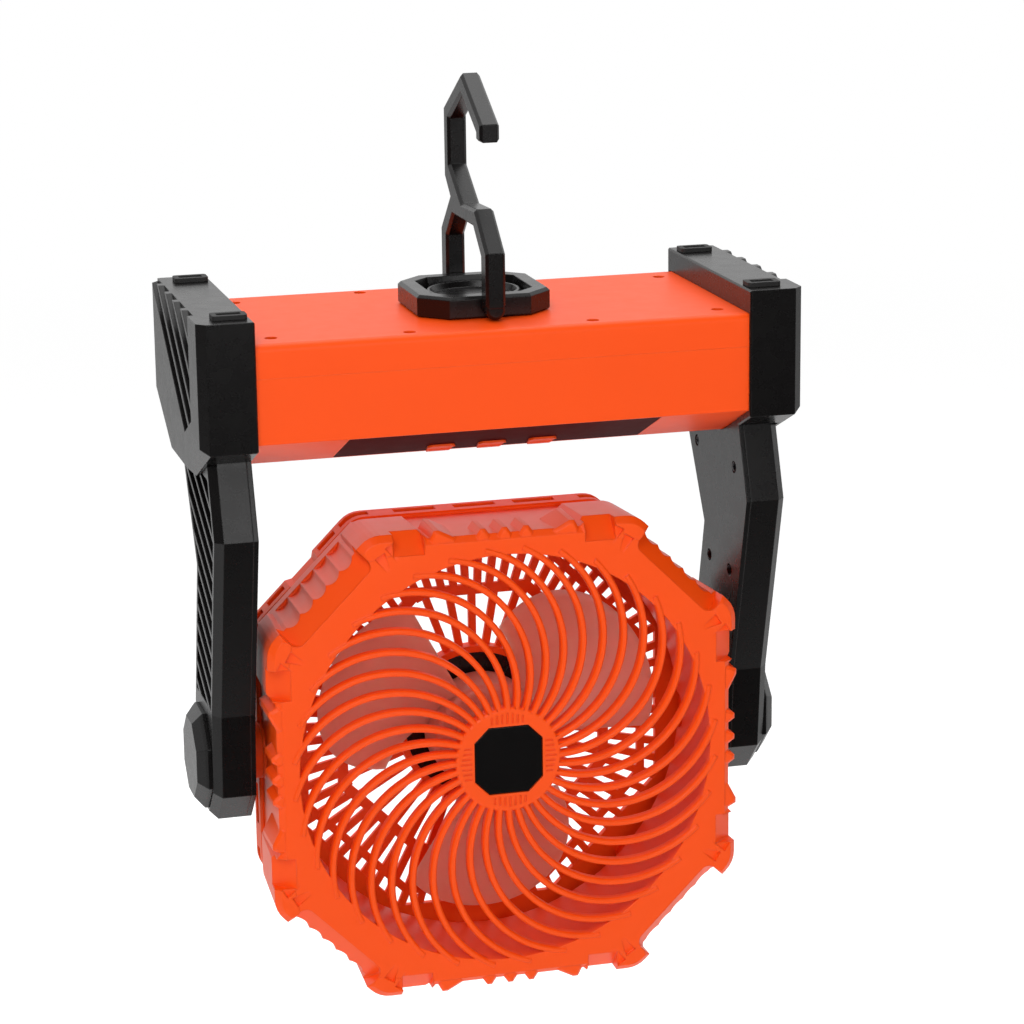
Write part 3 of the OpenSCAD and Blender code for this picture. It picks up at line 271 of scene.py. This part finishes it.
def milky_blades(colour):
    """Natural polypropylene, injection moulded: milky, lets the orange behind it through, silky; its
    pink-orange colour is partly its own tint and partly painted orange light from the shells round it.
    """
    material, tree, place = new_material("polypropylene_milky_moulded")
    cloud = noise(tree, place, 30 * MM, 3.0)
    principled(tree, Base_Color=tinted(tree, colour, spread(tree, cloud, 0.94, 1.04)),
               Roughness=spread(tree, cloud, 0.3, 0.42), IOR=1.49, Transmission_Weight=0.25,
               Subsurface_Weight=0.8, Subsurface_Scale=6 * MM, Subsurface_Radius=(1.0, 0.5, 0.42),
               Normal=raised(tree, noise(tree, place, 1.2 * MM), 0.02 * MM, 0.4))
    return material


def rubber(colour):
    """Nitrile rubber, compression moulded: dull black with a fine dusty grain."""
    material, tree, place = new_material("nitrile_rubber_moulded")
    dust = noise(tree, place, 3 * MM, 5.0)
    dusty = (*[c * 2.1 + 0.004 for c in colour], 1)
    mixed = add(tree, "ShaderNodeMix", {"Factor": dust, 6: (*colour, 1), 7: dusty},
                data_type="RGBA")
    principled(tree, Base_Color=mixed.outputs[2], Roughness=spread(tree, dust, 0.6, 0.75), IOR=1.5,
               Normal=raised(tree, noise(tree, place, 0.5 * MM), 0.03 * MM, 0.5,
                             Normal=softened(tree, 0.5 * MM)))
    return material


def turned_steel(name, colour, roughness, line):
    """Steel, turned or drawn: fine lines along the lathe's feed break up its shine."""
    material, tree, place = new_material(name)
    lines = add(tree, "ShaderNodeTexWave", {"Vector": place, "Scale": 1 / line, "Distortion": 2.0,
                                            "Detail": 2.0}, bands_direction="Y")
    stain = noise(tree, place, 4 * MM, 4.0)
    principled(tree, Base_Color=tinted(tree, colour, spread(tree, stain, 0.82, 1.12)), Metallic=1.0,
               Roughness=spread(tree, stain, roughness - 0.06, roughness + 0.1),
               Normal=raised(tree, lines.outputs["Fac"], 0.01 * MM, 0.3))
    return material


def solder_mask():
    """Glass epoxy board under green solder mask: faint copper tracks show as a raised pattern."""
    material, tree, place = new_material("glass_epoxy_solder_mask")
    tracks = add(tree, "ShaderNodeTexBrick", {
        "Vector": place, "Color1": (*from_hex("#0F5A32"), 1), "Color2": (*from_hex("#136B3B"), 1),
        "Mortar": (*from_hex("#1E8A4C"), 1), "Scale": 1 / (9 * MM), "Mortar Size": 0.04})
    principled(tree, Base_Color=tracks.outputs["Color"], IOR=1.5,
               Roughness=spread(tree, noise(tree, place, 0.6 * MM), 0.25, 0.4),
               Normal=raised(tree, tracks.outputs["Fac"], 0.03 * MM, 0.5))
    return material


def give(node, material):
    """Puts a material on every slot of a CAD node."""
    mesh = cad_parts[node].data
    if not mesh.materials:
        mesh.materials.append(material)
    for i in range(len(mesh.materials)):
        mesh.materials[i] = material


# Mesh helpers

def finished(name, mesh, material, body, slot, *nodes):
    """Makes the object of a finished piece, which stands for the CAD nodes named."""
    mesh.materials.clear()
    mesh.materials.append(material)
    piece = bpy.data.objects.new(name, mesh)
    bpy.context.scene.collection.objects.link(piece)
    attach(piece, body)
    if nodes:
        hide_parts(*nodes)
    return piece


def lathe(bm, profile, steps=96):
    """Turns a closed profile of (radius, height) points round Z; a radius of 0 gives a pole."""
    rings = []
    for r, z in profile:
        if r == 0:
            rings.append([bm.verts.new((0, 0, z))])
        else:
            rings.append([bm.verts.new((r * math.cos(a), r * math.sin(a), z))
                          for a in (2 * math.pi * i / steps for i in range(steps))])
    for low, high in zip(rings, rings[1:] + rings[:1]):
        for i in range(steps):
            j = (i + 1) % steps
            corners = [low[i % len(low)], low[j % len(low)], high[j % len(high)],
                       high[i % len(high)]]
            unique = list(dict.fromkeys(corners))
            if len(unique) > 2:
                bm.faces.new(unique)


def settle(bm, name, smooth=40):
    """Merges doubles, turns faces outwards and gives the mesh smooth shading up to an angle."""
    bmesh.ops.remove_doubles(bm, verts=bm.verts, dist=SAME_POINT)
    bmesh.ops.recalc_face_normals(bm, faces=bm.faces)
    for face in bm.faces:
        face.smooth = True
    for edge in bm.edges:
        edge.smooth = len(edge.link_faces) == 2 and edge.calc_face_angle(0) < math.radians(smooth)
    mesh = bpy.data.meshes.new(name)
    bm.to_mesh(mesh)
    bm.free()
    return mesh


def head_place():
    """The head's own directions, x right, y up and z towards the front, put in the frame."""
    return Matrix.Translation(TILT_AXIS * MM) @ Matrix.Rotation(math.radians(90), 4, "X")


# Impeller

def blade_point(along, out, sizes):
    """A point in the middle of a blade's thickness, in millimetres round the impeller's axis.

    along runs from the leading edge to the trailing edge, out from the hub to the tip."""
    root = sizes.spinner / MM - BLADE_SINK
    drawn_in = (1 - TAIL_CUT * along ** TAIL_POWER) * (1 - NOSE_CUT * (1 - along) ** NOSE_POWER)
    radius = root + (sizes.blade_reach / MM * drawn_in - root) * out
    share = ROOT_SHARE + (1 - ROOT_SHARE) * out
    angle = math.radians(BLADE_TURN * (along - 0.5) * share + BLADE_LEAN * out)
    belly = BLADE_BELLY * math.sin(math.pi * along) * out
    depth = TAIL_HEIGHT + NOSE_RISE * (1 - along) + belly
    return Vector((radius * math.cos(angle), radius * math.sin(angle), depth))


def blade_mesh(sizes):
    """One blade of even thickness, with a rim that rounds off."""
    bm = bmesh.new()
    across, outward = BLADE_STEPS_ALONG, BLADE_STEPS_OUT
    half = sizes.blade_thick / MM / 2
    layers = []
    for side in (-1, 1):
        layer = []
        for i in range(across + 1):
            row = []
            for j in range(outward + 1):
                s, q = i / across, j / outward
                edge = min(1, max(0.0, min(s, 1 - s, (1 - q) * TIP_RIM) * BLADE_RIM))
                thin = max(half * math.sqrt(edge * (2 - edge)), THINNEST)
                p = blade_point(s, q, sizes)
                row.append(bm.verts.new((p + Vector((0, 0, side * thin))) * MM))
            layer.append(row)
        layers.append(layer)
    for k, layer in enumerate(layers):
        for i in range(across):
            for j in range(outward):
                face = [layer[i][j], layer[i + 1][j], layer[i + 1][j + 1], layer[i][j + 1]]
                bm.faces.new(face if k else face[::-1])
    low, high = layers
    for i in range(across):
        for j in (0, outward):
            bm.faces.new([low[i][j], low[i + 1][j], high[i + 1][j], high[i][j]])
    for j in range(outward):
        for i in (0, across):
            bm.faces.new([low[i][j], low[i][j + 1], high[i][j + 1], high[i][j]])
    return settle(bm, "blade", 60)


def geometry_tree(name, inputs):
    """A Geometry Nodes tree that takes and gives geometry, and its node with the inputs."""
    tree = bpy.data.node_groups.new(name, "GeometryNodeTree")
    for label, kind in (("Geometry", "Geometry"), *inputs, ("Material", "Material")):
        tree.interface.new_socket(label, in_out="INPUT", socket_type="NodeSocket" + kind)
    tree.interface.new_socket("Geometry", in_out="OUTPUT", socket_type="NodeSocketGeometry")
    return tree, add(tree, "NodeGroupInput")


def finish_copies(tree, given, copies):
    """Ends a tree: its copies as real geometry in the given material."""
    real = add(tree, "GeometryNodeRealizeInstances", {"Geometry": copies.outputs[0]})
    painted = add(tree, "GeometryNodeSetMaterial", {"Geometry": real.outputs[0],
                                                    "Material": given.outputs["Material"]})
    add(tree, "NodeGroupOutput", {"Geometry": painted.outputs[0]})
    return tree


def blades_tree():
    """Geometry Nodes: turns copies of the given blade round Z."""
    tree, given = geometry_tree("blades_round_hub", (("Blades", "Int"), ("First angle", "Float")))
    points = add(tree, "GeometryNodePoints", {"Count": given.outputs["Blades"]})
    index = add(tree, "GeometryNodeInputIndex")
    step = add(tree, "ShaderNodeMath", {0: 2 * math.pi, 1: given.outputs["Blades"]},
               operation="DIVIDE")
    angle = add(tree, "ShaderNodeMath", {0: index.outputs[0], 1: step.outputs[0],
                                         2: given.outputs["First angle"]},
                operation="MULTIPLY_ADD")
    turn = add(tree, "ShaderNodeCombineXYZ", {"Z": angle.outputs[0]})
    return finish_copies(tree, given, add(tree, "GeometryNodeInstanceOnPoints", {
        "Points": points.outputs[0], "Instance": given.outputs["Geometry"],
        "Rotation": turn.outputs[0]}))


def screws_tree():
    """Geometry Nodes: puts a screw on every point, turned the way that the point says."""
    tree, given = geometry_tree("screws_on_points", (("Screw", "Object"), ("Size", "Float")))
    screw = add(tree, "GeometryNodeObjectInfo", {"Object": given.outputs["Screw"],
                                                 "As Instance": True})
    turn = add(tree, "GeometryNodeInputNamedAttribute", {"Name": "turn"}, data_type="FLOAT_VECTOR")
    return finish_copies(tree, given, add(tree, "GeometryNodeInstanceOnPoints", {
        "Points": given.outputs["Geometry"], "Instance": screw.outputs["Geometry"],
        "Rotation": turn.outputs[0], "Scale": given.outputs["Size"]}))


def shaped_mesh(source):
    """What an object's modifiers make of it, as a plain mesh."""
    bpy.context.view_layer.update()
    graph = bpy.context.evaluated_depsgraph_get()
    return bpy.data.meshes.new_from_object(source.evaluated_get(graph), depsgraph=graph)


def grown(name, source, tree, **values):
    """Runs a Geometry Nodes tree on a mesh and returns the result as a plain mesh."""
    maker = bpy.data.objects.new(name + "_maker", source)
    bpy.context.scene.collection.objects.link(maker)
    modifier = maker.modifiers.new("nodes", "NODES")
    modifier.node_group = tree
    for item in tree.interface.items_tree:
        if item.in_out == "INPUT" and item.name in values:
            modifier[item.identifier] = values[item.name]
    mesh = shaped_mesh(maker)
    bpy.data.objects.remove(maker)
    mesh.name = name
    return mesh


def joined(name, *meshes):
    """Several meshes as one."""
    bm = bmesh.new()
    for mesh in meshes:
        bm.from_mesh(mesh)
    result = bpy.data.meshes.new(name)
    bm.to_mesh(result)
    bm.free()
    return result


def screw_mesh(sizes):
    """A pan-head screw in metres: domed head, bevelled rim, cross recess, shank down Z."""
    r, h, shank = sizes.screw_head, sizes.screw_rise, 1.6 * MM
    # The recess's mouth and bottom: height, half length and half width of a wing
    mouth, bottom = (h * 1.2, r * 0.62, r * 0.14), (h * 0.3, r * 0.3, r * 0.1)
    dome = [(r * math.sin(a), h * 0.45 + h * 0.55 * math.cos(a))
            for a in (math.radians(90 * i / 6) for i in range(7))]
    profile = dome + [(r, 0.1 * h), (r * 0.96, 0), (r * 0.6, 0), (r * 0.6, -shank), (0, -shank)]
    bm = bmesh.new()
    lathe(bm, profile, 28)
    head = settle(bm, "screw_head", 35)
    body = bpy.data.objects.new("screw_blank", head)
    bpy.context.scene.collection.objects.link(body)
    cutters = []
    for turn in (0, 90):
        bm = bmesh.new()
        corners = []
        for z, long, wide in (mouth, bottom):
            corners.append([bm.verts.new((x * long, y * wide, z))
                            for x, y in ((-1, -1), (1, -1), (1, 1), (-1, 1))])
        top, low = corners
        bm.faces.new(top)
        bm.faces.new(low[::-1])
        for i in range(4):
            bm.faces.new([low[i], low[(i + 1) % 4], top[(i + 1) % 4], top[i]])
        bmesh.ops.recalc_face_normals(bm, faces=bm.faces)
        bmesh.ops.rotate(bm, verts=bm.verts, cent=(0, 0, 0),
                         matrix=Matrix.Rotation(math.radians(turn), 3, "Z"))
        mesh = bpy.data.meshes.new("driver_wing")
        bm.to_mesh(mesh)
        bm.free()
        cutter = bpy.data.objects.new("driver_wing", mesh)
        bpy.context.scene.collection.objects.link(cutter)
        cut = body.modifiers.new("cross", "BOOLEAN")
        cut.operation = "DIFFERENCE"
        cut.solver = "EXACT"
        cut.object = cutter
        cutters.append(cutter)
    mesh = shaped_mesh(body)
    for spare in cutters + [body]:
        bpy.data.objects.remove(spare)
    return mesh


def points_mesh(name, places):
    """Points in metres, each with the turn of what stands on it as a named attribute."""
    mesh = bpy.data.meshes.new(name)
    mesh.from_pydata([tuple(p * MM) for p, _ in places], [], [])
    store = mesh.attributes.new("turn", "FLOAT_VECTOR", "POINT")
    for i, (_, turn) in enumerate(places):
        store.data[i].vector = turn
    return mesh


# Operators

class FAN_OT_shells(bpy.types.Operator):
    """Gives the moulded shells, arms, hook and other CAD nodes their finishes"""
    bl_idname = "fan.shells"
    bl_label = "Moulded shells and fittings"

    def execute(self, context):
        colours, sizes = context.scene.fan_colours, context.scene.fan_sizes
        grain, edge = sizes.grain, sizes.edge
        # Every moulded finish here has its edges painted paler as a highlight
        # ABS, injection moulded: clean saturated orange with a silk surface and painted highlights on
        # its edges
        orange = moulded("abs_orange_injection_moulded", colours.orange, roughness=0.42, ior=1.3,
                         grain=grain, depth=0.012 * MM, edge=edge, edge_highlight=0.5, mottle=0.03)
        # The same ABS on thin ribs, whose edges are nearly fully round
        ribs = moulded("abs_orange_ribbed", colours.orange, roughness=0.34, ior=1.34,
                       grain=grain, depth=0.01 * MM, edge=0.8 * MM, edge_highlight=0.3, mottle=0.03)
        # Glass-filled nylon, injection moulded in a spark-eroded tool: deep black, leathery glints,
        # edges painted greyer as a highlight
        black = moulded("nylon_black_spark_eroded", colours.black, roughness=0.27, ior=1.42,
                        grain=grain, depth=0.03 * MM, edge=edge, edge_highlight=0.5, mottle=0.12)
        # Acrylic, satin mould: near-black maroon lens with a soft shine
        panel = moulded("acrylic_panel_satin", colours.panel, roughness=0.5, ior=1.07,
                        grain=grain, depth=0.002 * MM, edge=0.3 * MM, edge_highlight=0.2, mottle=0.06)
        # Acrylic plate, polished: plain black mirror with slight orange peel
        plate = moulded("acrylic_plate_polished", colours.plate, roughness=0.22, ior=1.45,
                        grain=4 * grain, depth=0.004 * MM, edge=0.3 * MM, edge_highlight=0.2, mottle=0.06,
                        coat=0.2)
        # Acetal, moulded: waxy off-white bush
        bush = moulded("acetal_bush_moulded", from_hex("#DCD8CC"), roughness=0.35, ior=1.48,
                       grain=grain, depth=0.01 * MM, edge=0.3 * MM, edge_highlight=0.2)
        # Polycarbonate blend, moulded: plain grey cradle for the cells
        cradle = moulded("polycarbonate_grey_moulded", from_hex("#33373B"), roughness=0.45, ior=1.5,
                         grain=grain, depth=0.02 * MM, edge=0.4 * MM, edge_highlight=0.3)
        # PVC sleeve, heat shrunk over each cell: glossy blue with a faint wrinkle
        sleeve = moulded("pvc_sleeve_heat_shrunk", from_hex("#2F7DB4"), roughness=0.25, ior=1.52,
                         grain=5 * grain, depth=0.04 * MM, edge=0.3 * MM, edge_highlight=0.2)
        for node in ("base_cover", "base_housing", "button_left", "button_middle", "button_right",
                     "rear_cover", "left_pivot", "right_pivot"):
            give(node, orange)
        give("front_grille", ribs)
        for node in ("left_end_cap", "right_end_cap", "left_arm", "right_arm", "left_arm_cover",
                     "right_arm_cover", "left_pivot_cap", "right_pivot_cap", "motor_mount",
                     "hook_ring", "ring_dish", "hook"):
            give(node, black)
        give("control_panel", panel)
        give("hub_plate", plate)
        give("left_bush", bush)
        give("right_bush", bush)
        give("battery_holder", cradle)
        give("battery_cells", sleeve)
        give("circuit_board", solder_mask())
        give("feet", rubber(colours.rubber))
        bare = turned_steel("steel_turned_bare", colours.pin, 0.3, 0.6 * MM)
        for node in ("motor", "motor_shaft", "hook_pins", "charge_port", "ring_screw"):
            give(node, bare)
        return {"FINISHED"}


class FAN_OT_impeller(bpy.types.Operator):
    """Builds the milky impeller: smooth blades round a lathe-turned hub"""
    bl_idname = "fan.impeller"
    bl_label = "Impeller"

    def execute(self, context):
        sizes = context.scene.fan_sizes
        milky = milky_blades(context.scene.fan_colours.blade)
        blades = grown("blades", blade_mesh(sizes), blades_tree(), Blades=sizes.blade_count,
                       Material=milky, **{"First angle": math.radians(FIRST_BLADE)})
        bm = bmesh.new()
        r, low, high = sizes.spinner / MM, HUB_LOW, HUB_TOP
        wall = HUB_WALL
        front = [(r - HUB_EDGE * (1 - math.cos(a)), high - HUB_EDGE * (1 - math.sin(a)))
                 for a in (math.radians(90 * i / 8) for i in range(9))]
        profile = [(r - wall, low), (r, low)] + front + [
            (BORE, high), (BORE, BOSS_END), (BOSS, BOSS_END), (BOSS, high - wall),
            (r - 2 * wall, high - wall), (r - wall, high - 2 * wall)]
        lathe(bm, [(a * MM, b * MM) for a, b in profile])
        hub = settle(bm, "spinner", 35)
        mesh = joined("impeller_piece", blades, hub)
        mesh.transform(head_place())
        finished("impeller_piece", mesh, milky, "impeller", "blade", "impeller")
        return {"FINISHED"}


class FAN_OT_screws(bpy.types.Operator):
    """Puts a cross-head screw wherever the base, the arms, the head and the motor have one"""
    bl_idname = "fan.screws"
    bl_label = "Screws"

    def execute(self, context):
        colours, sizes = context.scene.fan_colours, context.scene.fan_sizes
        # Carbon steel, cold headed, black oxide: dark grey metal with a soft glint
        oxide = turned_steel("steel_screw_black_oxide", colours.steel, 0.34, 0.4 * MM)
        blank = bpy.data.objects.new("screw", screw_mesh(sizes))
        context.scene.collection.objects.link(blank)
        tree = screws_tree()
        drop = Vector((0, 0, -SEAT_DROP))
        base = [(Vector((x, y, COVER_SCREW_SEAT)) + drop, (0, 0, 0.3 * i))
                for i, (x, y) in enumerate(COVER_SCREWS)]
        for side in (-1, 1):
            base += [(Vector((side * ARM_SCREW_SEAT, y, z)) + drop, (0.4 * i, -side * math.pi / 2, 0))
                     for i, (y, z) in enumerate(ARM_SCREWS)]
        place = head_place()
        head = []
        for count, first, radius, seat in ((4, 45, HEAD_SCREW_RADIUS, HEAD_SCREW_SEAT),
                                           (3, 90, MOTOR_SCREW_RADIUS, MOTOR_SCREW_SEAT)):
            for i in range(count):
                a = math.radians(first + 360 / count * i)
                p = place @ (Vector((radius * math.cos(a), radius * math.sin(a), seat)) * MM)
                head.append((p / MM, (-math.pi / 2, 0, 0)))
        for name, body, places, nodes in (
                ("base_screw_set", "base", base, ("base_screws", "arm_screws")),
                ("head_screw_set", "head", head, ("head_screws", "motor_screws"))):
            mesh = grown(name, points_mesh(name + "_points", places), tree, Screw=blank,
                         Size=1.0, Material=oxide)
            finished(name, mesh, oxide, body, "steel", *nodes)
        bpy.data.objects.remove(blank)
        return {"FINISHED"}


class FAN_OT_stage(bpy.types.Operator):
    """Sets up the plain pale floor, the soft studio lights and the camera"""
    bl_idname = "fan.stage"
    bl_label = "Studio and camera"

    def execute(self, context):
        stage = context.scene.fan_stage
        self.camera(context)
        self.lights(context, stage)
        self.floor(context, stage)
        self.surroundings(context, stage)
        context.scene.view_settings.view_transform = "Standard"
        return {"FINISHED"}

    def camera(self, context):
        az, el, roll = (math.radians(a) for a in (CAMERA_TURN, CAMERA_RISE, CAMERA_ROLL))
        back = Vector((math.sin(az) * math.cos(el), -math.cos(az) * math.cos(el), math.sin(el)))
        right = (-back).cross(Vector((0, 0, 1))).normalized()
        up = right.cross(-back)
        across = right * math.cos(roll) + up * math.sin(roll)
        upward = up * math.cos(roll) - right * math.sin(roll)
        spot = sum((way * d for way, d in zip((across, upward, back), CAMERA_OFFSET)),
                   Vector((0, 0, -SEAT_DROP)))
        lens = bpy.data.cameras.new("camera")
        lens.sensor_width = SENSOR
        lens.lens = FOCAL_PIXELS / IMAGE_WIDTH * SENSOR
        lens.clip_start = 0.05
        camera = bpy.data.objects.new("camera", lens)
        turn = Matrix((across, upward, back)).transposed().to_4x4()
        camera.matrix_world = Matrix.Translation(spot * MM) @ turn
        context.scene.collection.objects.link(camera)
        context.scene.camera = camera

    def lights(self, context, stage):
        for name, spot, size, power in LAMPS:
            lamp = bpy.data.lights.new(name, "AREA")
            lamp.size = size
            lamp.energy = getattr(stage, power)
            light = bpy.data.objects.new(name, lamp)
            light.location = spot
            light.rotation_euler = (AIM - Vector(spot)).to_track_quat("-Z", "Y").to_euler()
            context.scene.collection.objects.link(light)

    def floor(self, context, stage):
        bm = bmesh.new()
        bmesh.ops.create_grid(bm, x_segments=1, y_segments=1, size=FLOOR_HALF,
                              matrix=Matrix.Translation((0, FLOOR_MIDDLE, -stage.floor_drop)))
        mesh = bpy.data.meshes.new("floor")
        bm.to_mesh(mesh)
        bm.free()
        # Painted board: plain and pale, so that it shows the shadow and little else
        material, tree, place = new_material("painted_board_white")
        grain = noise(tree, place, 25 * MM)
        bump = add(tree, "ShaderNodeBump", {"Height": grain, "Distance": 0.2 * MM})
        shader = add(tree, "ShaderNodeBsdfPrincipled", {
            "Base Color": (0.95, 0.95, 0.95, 1), "Roughness": 0.8, "Normal": bump.outputs[0]})
        # The camera sees it a little whiter than it is lit, and its front part mirrors as dim
        ray = add(tree, "ShaderNodeLightPath")
        direct = seen_directly(tree, ray)
        extra = product(tree, direct, stage.backdrop)
        glow = add(tree, "ShaderNodeEmission", {"Strength": extra})
        lit = add(tree, "ShaderNodeAddShader", {0: shader.outputs[0], 1: glow.outputs[0]})
        along = add(tree, "ShaderNodeSeparateXYZ", {"Vector": place})
        front = add(tree, "ShaderNodeMapRange", {"Value": along.outputs["Y"],
                                                 "From Min": FLOOR_DIM[0], "From Max": FLOOR_DIM[1]})
        dim = product(tree, front.outputs[0], ray.outputs["Is Glossy Ray"])
        dark = add(tree, "ShaderNodeEmission", {"Strength": stage.dark_front})
        near = add(tree, "ShaderNodeMixShader", {"Fac": dim, 1: lit.outputs[0], 2: dark.outputs[0]})
        # Far from the fan it turns plain white, so that its end doesn't show
        reach = add(tree, "ShaderNodeVectorMath", {0: place}, operation="LENGTH")
        far = add(tree, "ShaderNodeMapRange", {"Value": reach.outputs["Value"],
                                               "From Min": FLOOR_FADE[0], "From Max": FLOOR_FADE[1]})
        white = add(tree, "ShaderNodeEmission", {"Strength": 1.0})
        finish_material(tree, add(tree, "ShaderNodeMixShader", {
            "Fac": product(tree, far.outputs[0], direct), 1: near.outputs[0],
            2: white.outputs[0]}))
        mesh.materials.append(material)
        floor = bpy.data.objects.new("floor", mesh)
        context.scene.collection.objects.link(floor)

    def surroundings(self, context, stage):
        world = bpy.data.worlds.new("studio")
        world.use_nodes = True
        tree = world.node_tree
        tree.nodes.clear()
        ray = add(tree, "ShaderNodeLightPath")
        # A white wall behind the fan and a dim room before it, as its shiny faces show them
        towards = add(tree, "ShaderNodeSeparateXYZ", {
            "Vector": add(tree, "ShaderNodeTexCoord").outputs["Generated"]})
        room = [add(tree, "ShaderNodeMapRange", {
            "Value": towards.outputs["Y"], "From Min": ROOM_TO_WALL[0], "From Max": ROOM_TO_WALL[1],
            "To Min": front, "To Max": stage.wall}) for front in (stage.ambient, stage.dark_front)]
        lit = add(tree, "ShaderNodeMix", {
            "Factor": ray.outputs["Is Glossy Ray"], 2: room[0].outputs[0], 3: room[1].outputs[0]})
        level = add(tree, "ShaderNodeMix", {
            "Factor": seen_directly(tree, ray), 2: lit.outputs[0], 3: 1.0})
        sky = add(tree, "ShaderNodeBackground", {"Color": (1, 1, 1, 1),
                                                 "Strength": level.outputs[0]})
        add(tree, "ShaderNodeOutputWorld", {"Surface": sky.outputs[0]})
        context.scene.world = world


class FAN_PT_panel(bpy.types.Panel):
    """Sidebar panel with the fan's pieces, colours and sizes"""
    bl_idname = "FAN_PT_panel"
    bl_label = "Camping fan"
    bl_space_type = "VIEW_3D"
    bl_region_type = "UI"
    bl_category = "Camping fan"

    def draw(self, context):
        for operator in OPERATORS:
            self.layout.operator(operator.bl_idname)
        for group in (context.scene.fan_colours, context.scene.fan_sizes, context.scene.fan_stage):
            box = self.layout.box()
            for name in group.__annotations__:
                box.prop(group, name)


OPERATORS = (FAN_OT_shells, FAN_OT_impeller, FAN_OT_screws, FAN_OT_stage)
GROUPS = {"fan_colours": FanColours, "fan_sizes": FanSizes, "fan_stage": FanStage}


def register():
    for item in (*GROUPS.values(), *OPERATORS, FAN_PT_panel):
        bpy.utils.register_class(item)
    for name, group in GROUPS.items():
        setattr(bpy.types.Scene, name, PointerProperty(type=group))


def unregister():
    for name in GROUPS:
        delattr(bpy.types.Scene, name)
    for item in (FAN_PT_panel, *reversed(OPERATORS), *reversed(list(GROUPS.values()))):
        bpy.utils.unregister_class(item)


def main():
    register()
    bpy.ops.fan.shells()
    bpy.ops.fan.impeller()
    bpy.ops.fan.screws()
    bpy.ops.fan.stage()
    bpy.context.view_layer.update()


if __name__ == "__main__":
    main()
